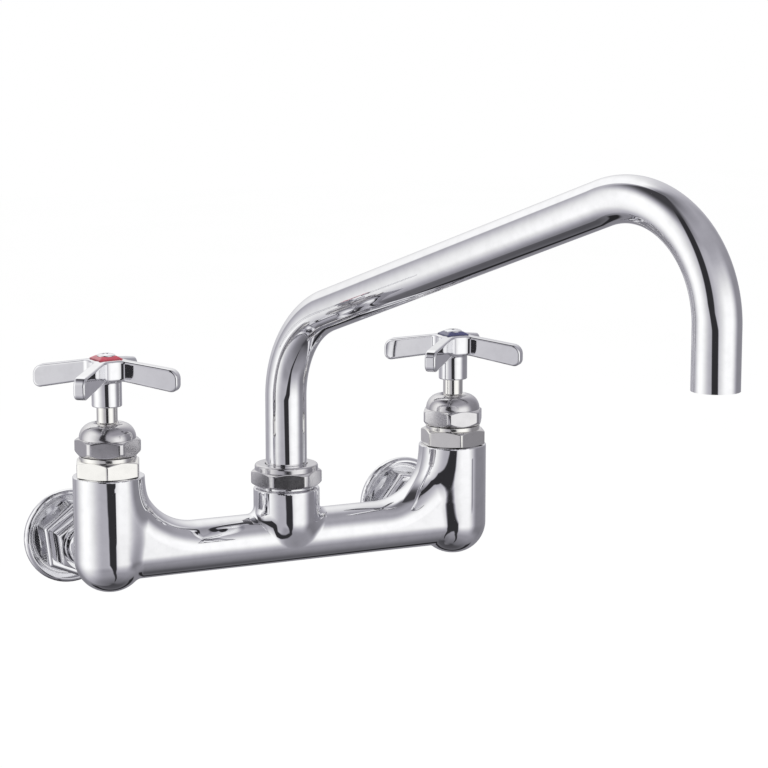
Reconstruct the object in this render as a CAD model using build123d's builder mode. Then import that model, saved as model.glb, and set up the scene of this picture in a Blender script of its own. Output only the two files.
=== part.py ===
from build123d import *
import math
import os

# A commercial wall faucet: a cast body with two screw-down valves, a swivel
# spout and two wall flanges. Sizes are millimetres.
#
# The origin lies on the wall, midway between the two supply inlets. +X runs
# to the right as one faces the faucet, -Y comes out of the wall, +Z is up.
# Sizes called "height", "top", "floor", "start" and "end" of the valve and
# spout parts are measured up from the rim of the valve columns. Sizes called
# "reach" of the wall parts are measured out from the wall.

# ---- layout ----
inlet_centres = 203.2
wall_to_body = 67.0
rim_height = 45.4

# ---- fits ----
thread_gap = 0.05
running_gap = 0.05
turning_gap = 0.1
free_gap = 0.3
hole_gap = 0.2
gland_gap = 0.15
socket_gap = 0.02
cut_past = 1.0
thread_relief = 0.5

# ---- body casting ----
column_radius = 18.6
column_depth = 62.0
column_round = 18.0
bridge_radius = 13.95
bridge_depth = 42.75
elbow_radius = 31.0
elbow_throat = 17.35
elbow_bury = 1.5
elbow_turn = 80
elbow_sections = 7
elbow_fillet = 4.0
boss_radius = 17.9
boss_depth = 15.5
boss_straight = 22.5
boss_fillet = 6.0
boss_chamfer = 0.8
boss_neck_radius = 15.4
boss_neck_top = -7.8
boss_bore_depth = 38.5
boss_passage_radius = 8.0
waterway_radius = 5.5
waterway_corner = 26.0
waterway_rise = 45
port_height = -19.0
chamber_radius = 12.0
chamber_floor = -30.0
lower_chamber_radius = 8.0
lower_chamber_floor = -54.0
lower_chamber_chamfer = 3.0
inlet_boss_radius = 11.75
inlet_boss_reach = 32.5
inlet_boss_chamfer = 0.6

# ---- bonnet ----
bonnet_across = 32.2
bonnet_hex_top = 8.8
bonnet_shoulder_radius = 15.0
bonnet_shoulder_top = 10.8
bonnet_neck_radius = 11.6
bonnet_neck_top = 20.6
bonnet_thread_radius = 13.15
bonnet_thread_end = -9.5
bonnet_chamfer = 0.5
bonnet_foot_bevel = 0.2
gasket_radius = 14.6
gasket_thickness = 1.2

# ---- packing ----
packing_floor = 12.3
packing_radius = 8.6
packing_washer_thickness = 1.0
packing_top = 18.8
packing_nut_across = 30.9
packing_nut_start = 11.2
packing_nut_hex_top = 20.0
packing_nut_corner = 1.1
packing_nut_bevel = 1.6
dome_radius = 14.9
dome_top = 28.0
dome_lip_radius = 7.2
nut_thread_top = 21.0
gland_radius = 8.4

# ---- spindle ----
valve_lift = 3.0
stem_radius = 5.45
stem_shoulder = 38.4
stem_thread_radius = 7.5
stem_thread_start = -12.0
stem_thread_end = 4.0
stem_foot_radius = 6.0
stem_foot_end = -19.0
stem_square = 7.6
stem_square_top = 58.0
stem_chamfer = 0.5

# ---- disc holder, washer and seat ----
holder_pin_radius = 3.0
holder_pin_length = 6.6
holder_plate_radius = 8.3
holder_plate_end = -25.2
washer_recess = 1.5
washer_radius = 7.2
washer_face = -26.9
washer_screw_head_radius = 3.4
washer_screw_head = 1.0
washer_screw_radius = 2.0
washer_screw_slot = 0.8
washer_screw_end = -17.0
seat_thread_radius = 6.95
seat_thread_end = -36.0
seat_flange_radius = 8.6
seat_flange_thickness = 1.6
seat_lip_radius = 5.9
seat_bore = 4.5
seat_key_across = 7.6
seat_key_depth = 4.5

# ---- handle ----
sleeve_radius = 7.9
sleeve_start = 36.6
sleeve_chamfer = 0.8
hub_radius = 8.8
hub_top = 61.3
arm_reach = 39.8
arm_thickness = 6.4
arm_root_height = 10.9
arm_top_droop = 8
arm_under_droop = 10
arm_tip_radius = 4.5
arm_crotch = 2.0
arm_edge = 1.2
index_reach = 9.3
index_corner_radius = 9.0
index_seat_reach = 5.8
index_edge = 0.5
index_thickness = 2.0
handle_screw_radius = 2.1
handle_screw_end = 48.0
handle_screw_room = 2.0
handle_screw_head_radius = 4.8
handle_screw_head = 1.1
cross_slot_length = 5.2
cross_slot_width = 1.3
cross_slot_depth = 0.8

# ---- spout ----
spout_reach = 304.8
spout_swing = 14.5
spout_rise = 19.25
spout_knee_height = 72.0
spout_knee_radius = 54.0
spout_crown_radius = 52.7
spout_outlet_height = 75.8
tube_radius = 11.1
tube_wall = 1.2
tube_start = -20.0
ferrule_radius = 13.0
ferrule_bore = 9.5
ferrule_end = -36.5
ferrule_flange_radius = 15.2
ferrule_flange_top = -5.4
o_ring_wire = 1.0
o_ring_squeeze = 11.0
o_ring_groove = 3.0
o_ring_heights = (-24.5, -31.0)
slip_ring_thickness = 1.0
spout_nut_across = 34.3
spout_nut_start = -14.0
spout_nut_hex_top = -5.5
spout_nut_corner = 1.3
spout_nut_bevel = 1.2
spout_nut_collar_radius = 17.1
spout_nut_top = -2.3
spout_nut_round = 1.4
spout_nut_opening_gap = 0.4

# ---- wall end ----
waterway_inlet_radius = 6.5
tailpiece_radius = 8.4
tailpiece_thread_length = 12.0
collar_radius = 9.9
collar_thickness = 2.45
coupling_across = 28.0
coupling_chamfer = 1.6
coupling_foot_bevel = 0.3
coupling_to_body = 1.3
coupling_lip = 3.0
coupling_washer_thickness = 2.0
flange_radius = 26.05
flange_bead = 2.55
flange_groove_radius = 21.6
flange_groove_floor = 3.4
flange_dish_radius = 17.6
flange_hex_across = 36.0
flange_hex_start = 8.3
flange_hex_reach = 18.7
flange_hex_round = 2.5
flange_hex_draft = 1.0
nipple_radius = 10.5
nipple_reach = 23.7
pipe_thread_radius = 9.13
pipe_thread_depth = 18.0
flange_waterway_radius = 7.0

# ---- turned angles of the hexagons and handles, as fitted ----
bonnet_turn = {"hot": 9.0, "cold": 17.6}
packing_nut_turn = {"hot": 35.0, "cold": 56.0}
wall_hex_turn = {"hot": 7.0, "cold": 21.0}
handle_turn = {"hot": -40.2, "cold": -46.4}
spout_nut_turn = 41.5

# ---- worked out from the sizes above ----
column_x = inlet_centres / 2
bonnet_bore = stem_radius + running_gap
gasket_seat = -gasket_thickness
bonnet_thread_ceiling = stem_thread_end + valve_lift + free_gap
packing_washer_top = packing_floor + packing_washer_thickness
seat_flange_top = chamber_floor + seat_flange_thickness
seat_lip_top = washer_face - turning_gap
holder_plate_top = stem_foot_end - turning_gap
holder_pin_top = holder_plate_top + holder_pin_length
socket_radius = holder_pin_radius + running_gap
washer_top = holder_plate_end + washer_recess
ferrule_flange_bottom = boss_neck_top + turning_gap
slip_ring_bottom = ferrule_flange_top + turning_gap
slip_ring_top = slip_ring_bottom + slip_ring_thickness
spout_opening = tube_radius + spout_nut_opening_gap
boss_bore = ferrule_radius + running_gap
handle_bore_top = stem_square_top + free_gap
index_top = hub_top + index_thickness
nut_shoulder_reach = inlet_boss_reach - coupling_to_body
collar_end = nut_shoulder_reach - coupling_lip
washer_reach = nipple_reach + coupling_washer_thickness
spout_angle = math.radians(spout_swing)


def upright_view(x):
    """A section through the upright axis at x: local x is the radius, local y the height above the rim."""
    return Plane(origin=(x, -wall_to_body, rim_height), x_dir=(1, 0, 0), z_dir=(0, -1, 0))


def inlet_view(x):
    """A section through the inlet axis at x: local x is the radius, local y the reach out from the wall."""
    return Plane(origin=(x, 0, 0), x_dir=(0, 0, 1), z_dir=(1, 0, 0))


def level(view, height):
    """The plane square to a view's axis at the given height along it."""
    return Plane(origin=view.origin + view.y_dir * height, x_dir=view.x_dir, z_dir=view.y_dir)


def turned(view, *outline, mode=Mode.ADD):
    """Revolve a closed outline of (radius, height) points about the view's axis."""
    with BuildSketch(view) as section:
        with BuildLine():
            Polyline(*outline, close=True)
        make_face()
    revolve(section.sketch, axis=Axis(view.origin, view.y_dir), mode=mode)


def bored(view, radius, low, high):
    """Cut a round bore between two heights."""
    turned(view, (0, low), (radius, low), (radius, high), (0, high), mode=Mode.SUBTRACT)


def hexagon(view, across, low, high, turn, corner=0.0, mode=Mode.ADD):
    """A hexagonal prism, its upright corners cut flat where corner isn't zero."""
    with BuildSketch(level(view, low)) as flats:
        RegularPolygon(across / 2, 6, major_radius=False, rotation=turn)
        if corner > 0:
            chamfer(flats.vertices(), corner)
    extrude(flats.sketch, amount=high - low, mode=mode)


def nut_blank(view, across, low, high, turn, bevel_low, bevel_high, corner=0.0):
    """A hexagonal prism between two turned bevels, each twice as wide as it is high."""
    point = across / 2 / math.cos(math.pi / 6)
    hexagon(view, across, low, high, turn, corner)
    turned(
        view,
        (0, low),
        (point - 2 * bevel_low, low),
        (point, low + bevel_low),
        (point, high - bevel_high),
        (point - 2 * bevel_high, high),
        (0, high),
        mode=Mode.INTERSECT,
    )


def save(piece, name):
    """Write one piece to its own file, under its own name."""
    piece.part.label = name
    export_step(piece.part, f"parts/{name}.step")


def make_body():
    """The casting: two columns, the bridge with its rising elbows, the centre boss and all the bores."""
    centre = upright_view(0)
    bridge = Plane(origin=centre.origin - centre.y_dir * bridge_depth, x_dir=(0, 1, 0), z_dir=(1, 0, 0))
    elbow_height = rim_height - bridge_depth + bridge_radius + elbow_radius
    elbow_x = column_x - column_radius + elbow_bury - elbow_radius
    with BuildPart() as body:
        # Each elbow is lofted through round sections set square to an arc that rises into the column.
        for side in (-1, 1):
            for step in range(elbow_sections):
                share = step / (elbow_sections - 1)
                turn = math.radians(elbow_turn * share)
                radius = bridge_radius + (elbow_throat - bridge_radius) * share
                reach = elbow_radius + radius
                section = Plane(
                    origin=(
                        side * (elbow_x + reach * math.sin(turn)),
                        -wall_to_body,
                        elbow_height - reach * math.cos(turn),
                    ),
                    x_dir=(0, 1, 0),
                    z_dir=(side * math.cos(turn), 0, math.sin(turn)),
                )
                with BuildSketch(section):
                    Circle(radius)
            loft()
        with BuildSketch(bridge):
            Circle(bridge_radius)
        extrude(amount=column_x, both=True)
        for side in (-1, 1):
            view = upright_view(side * column_x)
            with BuildSketch(view) as column:
                with BuildLine():
                    Polyline(
                        (0, 0),
                        (column_radius, 0),
                        (column_radius, -column_depth),
                        (0, -column_depth),
                        close=True,
                    )
                make_face()
                fillet(column.vertices().group_by(Axis.X)[-1].sort_by(Axis.Y)[0], column_round)
            revolve(column.sketch, axis=Axis(view.origin, view.y_dir))
        creases = [
            edge
            for edge in body.edges().filter_by(GeomType.BSPLINE)
            if abs(edge.center().X) > elbow_x and edge.center().Z < rim_height - elbow_fillet / 2
        ]
        fillet(creases, elbow_fillet)

        # The centre boss ends below in a half ball that stays inside the bridge's underside.
        with BuildSketch(centre) as boss:
            with BuildLine():
                half_ball = -boss_depth - boss_straight
                Line((0, -boss_depth), (boss_radius, -boss_depth))
                Line((boss_radius, -boss_depth), (boss_radius, half_ball))
                RadiusArc((boss_radius, half_ball), (0, half_ball - boss_radius), boss_radius)
                Line((0, half_ball - boss_radius), (0, -boss_depth))
            make_face()
            chamfer(boss.vertices().group_by(Axis.X)[-1].sort_by(Axis.Y)[-1], boss_chamfer)
        revolve(boss.sketch, axis=Axis(centre.origin, centre.y_dir))
        boss_creases = [
            edge
            for edge in body.edges().filter_by(GeomType.BSPLINE)
            if abs(edge.center().X) < boss_radius + boss_fillet
        ]
        fillet(boss_creases, boss_fillet)
        turned(
            centre,
            (0, -boss_depth - boss_chamfer),
            (boss_neck_radius, -boss_depth - boss_chamfer),
            (boss_neck_radius, boss_neck_top),
            (0, boss_neck_top),
        )
        for side in (-1, 1):
            view = inlet_view(side * column_x)
            turned(
                view,
                (0, wall_to_body),
                (inlet_boss_radius, wall_to_body),
                (inlet_boss_radius, inlet_boss_reach + inlet_boss_chamfer),
                (inlet_boss_radius - inlet_boss_chamfer, inlet_boss_reach),
                (0, inlet_boss_reach),
            )
        bore_body(body)
    return body


def bore_body(body):
    """The bores of the casting: spout boss, both valve chambers and the waterways between them."""
    centre = upright_view(0)
    bored(centre, boss_bore, -boss_bore_depth, boss_neck_top + cut_past)
    bored(centre, boss_passage_radius, -bridge_depth, -boss_bore_depth)
    for side in (-1, 1):
        view = upright_view(side * column_x)
        turned(
            view,
            (0, cut_past),
            (gasket_radius, cut_past),
            (gasket_radius, gasket_seat),
            (bonnet_thread_radius + thread_gap, gasket_seat),
            (bonnet_thread_radius + thread_gap, bonnet_thread_end - thread_relief),
            (chamber_radius, bonnet_thread_end - thread_relief),
            (chamber_radius, chamber_floor),
            (seat_thread_radius + thread_gap, chamber_floor),
            (seat_thread_radius + thread_gap, seat_thread_end),
            (lower_chamber_radius, seat_thread_end),
            (lower_chamber_radius, lower_chamber_floor + lower_chamber_chamfer),
            (lower_chamber_radius - lower_chamber_chamfer, lower_chamber_floor),
            (0, lower_chamber_floor),
            mode=Mode.SUBTRACT,
        )
        inlet = inlet_view(side * column_x)
        thread_floor = inlet_boss_reach + tailpiece_thread_length
        bored(inlet, tailpiece_radius + thread_gap, inlet_boss_reach - cut_past, thread_floor)
        bored(inlet, waterway_inlet_radius, inlet_boss_reach, wall_to_body)

    # The waterway runs along the bridge and turns up at each end into the upper chamber.
    port_x = column_x - chamber_radius
    corner_x = port_x - (port_height + bridge_depth) / math.tan(math.radians(waterway_rise))
    over = waterway_radius / 2
    end_x = port_x + over
    end_height = port_height + over * math.tan(math.radians(waterway_rise))
    with BuildLine(upright_view(0)) as waterway:
        FilletPolyline(
            (-end_x, end_height),
            (-corner_x, -bridge_depth),
            (corner_x, -bridge_depth),
            (end_x, end_height),
            radius=waterway_corner,
        )
    start = waterway.line @ 0
    with BuildSketch(Plane(origin=start, z_dir=waterway.line % 0)) as mouth:
        Circle(waterway_radius)
    sweep(mouth.sketch, path=waterway.line, mode=Mode.SUBTRACT)


def make_spout_nut():
    """The hexagon nut over the spout's flange, with a round collar on top."""
    view = upright_view(0)
    with BuildPart() as nut:
        nut_blank(
            view,
            spout_nut_across,
            spout_nut_start,
            spout_nut_hex_top,
            spout_nut_turn,
            spout_nut_bevel,
            spout_nut_bevel,
            spout_nut_corner,
        )
        with BuildSketch(view) as collar:
            with BuildLine():
                Polyline(
                    (0, spout_nut_hex_top - spout_nut_bevel),
                    (spout_nut_collar_radius, spout_nut_hex_top - spout_nut_bevel),
                    (spout_nut_collar_radius, spout_nut_top),
                    (0, spout_nut_top),
                    close=True,
                )
            make_face()
            fillet(collar.vertices().group_by(Axis.X)[-1].sort_by(Axis.Y)[-1], spout_nut_round)
        revolve(collar.sketch, axis=Axis(view.origin, view.y_dir))
        bored(view, boss_neck_radius + thread_gap, spout_nut_start, slip_ring_top)
        bored(view, spout_opening, slip_ring_top, spout_nut_top)
    return nut


def make_slip_ring():
    """The flat ring between the nut's shoulder and the spout's flange."""
    with BuildPart() as ring:
        turned(
            upright_view(0),
            (spout_opening, slip_ring_bottom),
            (boss_neck_radius - turning_gap, slip_ring_bottom),
            (boss_neck_radius - turning_gap, slip_ring_top),
            (spout_opening, slip_ring_top),
        )
    return ring


def spout_view():
    """The spout's own upright section plane, turned to where the spout rests: local x runs out along it."""
    out = (math.sin(spout_angle), -math.cos(spout_angle), 0)
    across = (-math.cos(spout_angle), -math.sin(spout_angle), 0)
    return Plane(origin=(0, -wall_to_body, rim_height), x_dir=out, z_dir=across)


def make_spout_tube():
    """One bent tube: up, out along a rising run, over the crown and down to the outlet."""
    crown_height = spout_knee_height + spout_reach * math.tan(math.radians(spout_rise))
    with BuildPart() as tube:
        with BuildLine(spout_view()) as route:
            FilletPolyline(
                (0, tube_start),
                (0, spout_knee_height),
                (spout_reach, crown_height),
                (spout_reach, spout_outlet_height),
                radius=[spout_knee_radius, spout_crown_radius],
            )
        with BuildSketch(Plane(origin=route.line @ 0, z_dir=route.line % 0)) as ring:
            Circle(tube_radius)
            Circle(tube_radius - tube_wall, mode=Mode.SUBTRACT)
        sweep(ring.sketch, path=route.line)
    return tube


def make_ferrule():
    """The flanged sleeve on the tube's foot, which turns in the boss and carries the O-rings."""
    view = upright_view(0)
    with BuildPart() as ferrule:
        turned(
            view,
            (ferrule_bore, ferrule_end),
            (ferrule_radius, ferrule_end),
            (ferrule_radius, ferrule_flange_bottom),
            (ferrule_flange_radius, ferrule_flange_bottom),
            (ferrule_flange_radius, ferrule_flange_top),
            (tube_radius + socket_gap, ferrule_flange_top),
            (tube_radius + socket_gap, tube_start),
            (ferrule_bore, tube_start),
        )
        for height in o_ring_heights:
            turned(
                view,
                (o_ring_squeeze, height - o_ring_groove / 2),
                (ferrule_radius + cut_past, height - o_ring_groove / 2),
                (ferrule_radius + cut_past, height + o_ring_groove / 2),
                (o_ring_squeeze, height + o_ring_groove / 2),
                mode=Mode.SUBTRACT,
            )
    return ferrule


def make_o_rings():
    """The two O-rings, drawn in to fill their grooves without touching the bore."""
    middle = o_ring_squeeze + socket_gap + o_ring_wire
    view = upright_view(0)
    with BuildPart() as rings:
        with BuildSketch(view) as wires:
            for height in o_ring_heights:
                with Locations((middle, height)):
                    Circle(o_ring_wire)
        revolve(wires.sketch, axis=Axis(view.origin, view.y_dir))
    return rings


def make_bonnet(side, name):
    """The lower hexagon, threaded into the column, with threads for the stem and the packing nut."""
    view = upright_view(side * column_x)
    with BuildPart() as bonnet:
        nut_blank(
            view, bonnet_across, 0, bonnet_hex_top, bonnet_turn[name], bonnet_foot_bevel, bonnet_chamfer
        )
        turned(
            view,
            (0, bonnet_thread_end),
            (bonnet_thread_radius - bonnet_chamfer, bonnet_thread_end),
            (bonnet_thread_radius, bonnet_thread_end + bonnet_chamfer),
            (bonnet_thread_radius, bonnet_chamfer),
            (bonnet_shoulder_radius, bonnet_hex_top - bonnet_chamfer),
            (bonnet_shoulder_radius, bonnet_shoulder_top),
            (bonnet_neck_radius, bonnet_shoulder_top),
            (bonnet_neck_radius, bonnet_neck_top - bonnet_chamfer),
            (bonnet_neck_radius - bonnet_chamfer, bonnet_neck_top),
            (0, bonnet_neck_top),
        )
        bored(view, stem_thread_radius + thread_gap, bonnet_thread_end, bonnet_thread_ceiling)
        bored(view, bonnet_bore, bonnet_thread_ceiling, packing_floor)
        bored(view, packing_radius, packing_floor, bonnet_neck_top)
    return bonnet


def make_gasket(side):
    """The fibre ring in the counterbore under the bonnet's hexagon."""
    with BuildPart() as gasket:
        turned(
            upright_view(side * column_x),
            (bonnet_thread_radius + thread_gap, gasket_seat),
            (gasket_radius - thread_gap, gasket_seat),
            (gasket_radius - thread_gap, 0),
            (bonnet_thread_radius + thread_gap, 0),
        )
    return gasket


def make_packing_nut(side, name):
    """The domed hexagon nut, whose inner gland presses the packing down on the stem."""
    view = upright_view(side * column_x)
    hole = stem_radius + gland_gap
    dome_foot = packing_nut_hex_top - packing_nut_bevel
    with BuildPart() as nut:
        nut_blank(
            view,
            packing_nut_across,
            packing_nut_start,
            packing_nut_hex_top,
            packing_nut_turn[name],
            packing_nut_bevel,
            packing_nut_bevel / 2,
            packing_nut_corner,
        )
        with BuildSketch(view) as dome:
            with BuildLine():
                Line((0, dome_foot), (dome_radius, dome_foot))
                Line((dome_radius, dome_foot), (dome_radius, packing_nut_hex_top))
                EllipticalCenterArc(
                    (dome_lip_radius, packing_nut_hex_top),
                    dome_radius - dome_lip_radius,
                    dome_top - packing_nut_hex_top,
                    start_angle=0,
                    arc_size=90,
                )
                Line((dome_lip_radius, dome_top), (0, dome_top))
                Line((0, dome_top), (0, dome_foot))
            make_face()
        revolve(dome.sketch, axis=Axis(view.origin, view.y_dir))
        turned(
            view,
            (0, packing_nut_start),
            (bonnet_neck_radius + thread_gap, packing_nut_start),
            (bonnet_neck_radius + thread_gap, nut_thread_top),
            (gland_radius, nut_thread_top),
            (gland_radius, packing_top + turning_gap),
            (0, packing_top + turning_gap),
            mode=Mode.SUBTRACT,
        )
        turned(
            view,
            (0, packing_top),
            (hole, packing_top),
            (hole, dome_top - (dome_lip_radius - hole)),
            (dome_lip_radius, dome_top),
            (0, dome_top),
            mode=Mode.SUBTRACT,
        )
    return nut


def make_packing_washer(side):
    """The brass ring that the packing sits on."""
    with BuildPart() as washer:
        turned(
            upright_view(side * column_x),
            (stem_radius + turning_gap, packing_floor),
            (packing_radius - turning_gap, packing_floor),
            (packing_radius - turning_gap, packing_washer_top),
            (stem_radius + turning_gap, packing_washer_top),
        )
    return washer


def make_stem_packing(side):
    """The packing rings, pressed to one sleeve round the stem."""
    with BuildPart() as packing:
        turned(
            upright_view(side * column_x),
            (stem_radius + running_gap, packing_washer_top),
            (packing_radius - running_gap, packing_washer_top),
            (packing_radius - running_gap, packing_top),
            (stem_radius + running_gap, packing_top),
        )
    return packing


def make_spindle(side, name):
    """The stem: foot with its socket, thread, round stem and the square that carries the handle."""
    view = upright_view(side * column_x)
    with BuildPart() as spindle:
        turned(
            view,
            (0, stem_foot_end),
            (stem_foot_radius - stem_chamfer, stem_foot_end),
            (stem_foot_radius, stem_foot_end + stem_chamfer),
            (stem_foot_radius, stem_thread_start),
            (stem_thread_radius - stem_chamfer, stem_thread_start),
            (stem_thread_radius, stem_thread_start + stem_chamfer),
            (stem_thread_radius, stem_thread_end - stem_chamfer),
            (stem_thread_radius - stem_chamfer, stem_thread_end),
            (stem_radius, stem_thread_end),
            (stem_radius, stem_shoulder),
            (0, stem_shoulder),
        )
        with BuildSketch(level(view, stem_shoulder)) as square:
            Rectangle(stem_square, stem_square, rotation=handle_turn[name])
        extrude(square.sketch, amount=stem_square_top - stem_shoulder)
        bored(view, socket_radius, stem_foot_end, holder_pin_top + free_gap)
        screw_floor = handle_screw_end - handle_screw_room
        bored(view, handle_screw_radius + thread_gap, screw_floor, stem_square_top)
    return spindle


def make_disc_holder(side):
    """The swivelling holder: a pin in the spindle's foot, and a recessed plate for the washer."""
    view = upright_view(side * column_x)
    with BuildPart() as holder:
        turned(
            view,
            (0, washer_top),
            (washer_radius + thread_gap, washer_top),
            (washer_radius + thread_gap, holder_plate_end),
            (holder_plate_radius, holder_plate_end),
            (holder_plate_radius, holder_plate_top - stem_chamfer),
            (holder_plate_radius - stem_chamfer, holder_plate_top),
            (holder_pin_radius, holder_plate_top),
            (holder_pin_radius, holder_pin_top),
            (0, holder_pin_top),
        )
        bored(view, washer_screw_radius + thread_gap, washer_top, washer_screw_end + free_gap)
    return holder


def make_seat_washer(side):
    """The rubber washer that closes on the seat's lip."""
    with BuildPart() as washer:
        turned(
            upright_view(side * column_x),
            (washer_screw_radius + hole_gap, washer_face),
            (washer_radius, washer_face),
            (washer_radius, washer_top),
            (washer_screw_radius + hole_gap, washer_top),
        )
    return washer


def make_washer_screw(side):
    """The screw through the washer into the holder, with a slot across its head."""
    view = upright_view(side * column_x)
    head_end = washer_face - washer_screw_head
    with BuildPart() as screw:
        turned(
            view,
            (0, head_end),
            (washer_screw_head_radius - washer_screw_head / 2, head_end),
            (washer_screw_head_radius, head_end + washer_screw_head / 2),
            (washer_screw_head_radius, washer_face),
            (washer_screw_radius, washer_face),
            (washer_screw_radius, washer_screw_end),
            (0, washer_screw_end),
        )
        with BuildSketch(level(view, head_end)) as slot:
            Rectangle(3 * washer_screw_head_radius, washer_screw_slot)
        extrude(slot.sketch, amount=washer_screw_head / 2, mode=Mode.SUBTRACT)
    return screw


def make_valve_seat(side):
    """The screwed-in seat: a rounded lip above the flange, and a hexagon for the key that fits it."""
    view = upright_view(side * column_x)
    key_top = seat_thread_end + seat_key_depth
    with BuildPart() as seat:
        with BuildSketch(view) as section:
            with BuildLine():
                Polyline(
                    (0, seat_thread_end),
                    (seat_thread_radius, seat_thread_end),
                    (seat_thread_radius, chamber_floor),
                    (seat_flange_radius, chamber_floor),
                    (seat_flange_radius, seat_flange_top),
                    (seat_lip_radius, seat_flange_top),
                    (seat_lip_radius, seat_lip_top),
                    (0, seat_lip_top),
                    close=True,
                )
            make_face()
        revolve(section.sketch, axis=Axis(view.origin, view.y_dir))
        bored(view, seat_bore, key_top, seat_lip_top)
        hexagon(view, seat_key_across, seat_thread_end, key_top, 0, mode=Mode.SUBTRACT)
        lip = seat.edges().filter_by(GeomType.CIRCLE).group_by(Axis.Z)[-1]
        fillet(lip, (seat_lip_radius - seat_bore) / 3)
    return seat


def make_bar(view, turn):
    """Two opposite arms in one: a flat bar whose ends fall away and taper, with its edges rounded."""
    along = Vector(math.cos(math.radians(turn)), math.sin(math.radians(turn)), 0)
    side_view = Plane(origin=view.origin, x_dir=along, z_dir=along.cross(view.y_dir))
    arm_length = arm_reach - hub_radius
    root_under = hub_top - arm_root_height
    tip_top = hub_top - arm_length * math.tan(math.radians(arm_top_droop))
    tip_under = root_under - arm_length * math.tan(math.radians(arm_under_droop))
    with BuildPart() as bar:
        with BuildSketch(side_view) as profile:
            with BuildLine():
                Polyline(
                    (-arm_reach, tip_top),
                    (-hub_radius, hub_top),
                    (hub_radius, hub_top),
                    (arm_reach, tip_top),
                    (arm_reach, tip_under),
                    (hub_radius, root_under),
                    (-hub_radius, root_under),
                    (-arm_reach, tip_under),
                    close=True,
                )
            make_face()
            ends = profile.vertices().group_by(Axis.X)
            fillet(ends[0] + ends[-1], arm_tip_radius)
        extrude(profile.sketch, amount=arm_thickness / 2, both=True)
        flanks = bar.faces().filter_by(lambda face: abs(face.normal_at().dot(side_view.z_dir)) > 0.99)
        fillet(flanks.edges(), arm_edge)
    return bar.part


def make_handle(side, name):
    """The four-arm handle: two crossed bars joined to a hub by soft crotches, over a round sleeve."""
    view = upright_view(side * column_x)
    turn = handle_turn[name]
    root_under = hub_top - arm_root_height
    crotch_reach = hub_radius + arm_crotch
    roof_fall = arm_crotch * math.tan(math.radians(arm_top_droop))
    with BuildPart() as handle:
        with BuildSketch(level(view, root_under)) as hub:
            Circle(hub_radius)
            for quarter in (0, 90):
                Rectangle(2 * crotch_reach, arm_thickness, rotation=turn + quarter)
            crotch_corners = [
                corner for corner in hub.vertices() if math.hypot(corner.X, corner.Y) < hub_radius + arm_edge
            ]
            fillet(crotch_corners, arm_crotch)
        extrude(hub.sketch, amount=arm_root_height)
        turned(
            view,
            (0, root_under),
            (crotch_reach - arm_edge, root_under),
            (crotch_reach - arm_edge, hub_top - roof_fall),
            (hub_radius, hub_top),
            (0, hub_top),
            mode=Mode.INTERSECT,
        )
        add(make_bar(view, turn))
        add(make_bar(view, turn + 90))
        turned(
            view,
            (0, sleeve_start),
            (sleeve_radius - sleeve_chamfer, sleeve_start),
            (sleeve_radius, sleeve_start + sleeve_chamfer),
            (sleeve_radius, hub_top - arm_root_height / 2),
            (0, hub_top - arm_root_height / 2),
        )
        bored(view, stem_radius + running_gap, sleeve_start, stem_shoulder + free_gap)
        with BuildSketch(level(view, stem_shoulder)) as square:
            Rectangle(stem_square + turning_gap, stem_square + turning_gap, rotation=turn)
        extrude(square.sketch, amount=handle_bore_top - stem_shoulder, mode=Mode.SUBTRACT)
        bored(view, handle_screw_radius + free_gap, handle_bore_top, hub_top)
    return handle


def make_index_ring(side, name):
    """The coloured washer under the screw's head: a low pyramid cut flat, its corners along the arms."""
    view = upright_view(side * column_x)
    turn = handle_turn[name] + 45
    foot = index_reach * math.sqrt(2)
    seat = index_seat_reach * math.sqrt(2)
    with BuildPart() as ring:
        with BuildSketch(level(view, hub_top)):
            Rectangle(foot, foot, rotation=turn)
        extrude(amount=index_edge)
        with BuildSketch(level(view, hub_top + index_edge)):
            Rectangle(foot, foot, rotation=turn)
        with BuildSketch(level(view, index_top)):
            Rectangle(seat, seat, rotation=turn)
        loft()
        turned(
            view,
            (0, hub_top),
            (index_corner_radius, hub_top),
            (index_corner_radius, index_top),
            (0, index_top),
            mode=Mode.INTERSECT,
        )
        bored(view, handle_screw_radius + free_gap, hub_top, index_top)
    return ring


def make_handle_screw(side):
    """The screw that holds the handle: a domed head with a cross recess."""
    view = upright_view(side * column_x)
    head_top = index_top + handle_screw_head
    with BuildPart() as screw:
        with BuildSketch(view) as section:
            with BuildLine():
                Line((0, handle_screw_end), (handle_screw_radius, handle_screw_end))
                Line((handle_screw_radius, handle_screw_end), (handle_screw_radius, index_top))
                Line((handle_screw_radius, index_top), (handle_screw_head_radius, index_top))
                EllipticalCenterArc(
                    (0, index_top), handle_screw_head_radius, handle_screw_head, start_angle=0, arc_size=90
                )
                Line((0, head_top), (0, handle_screw_end))
            make_face()
        revolve(section.sketch, axis=Axis(view.origin, view.y_dir))
        with BuildSketch(level(view, head_top - cross_slot_depth)) as cross:
            Rectangle(cross_slot_length, cross_slot_width)
            Rectangle(cross_slot_width, cross_slot_length)
        extrude(cross.sketch, amount=cross_slot_depth, mode=Mode.SUBTRACT)
    return screw


def make_tailpiece(side):
    """The tube from the body to the wall flange, with the collar that the coupling nut pulls up."""
    with BuildPart() as tailpiece:
        turned(
            inlet_view(side * column_x),
            (waterway_inlet_radius, washer_reach),
            (collar_radius, washer_reach),
            (collar_radius, washer_reach + collar_thickness),
            (tailpiece_radius, washer_reach + collar_thickness),
            (tailpiece_radius, inlet_boss_reach + tailpiece_thread_length),
            (waterway_inlet_radius, inlet_boss_reach + tailpiece_thread_length),
        )
    return tailpiece


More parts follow.
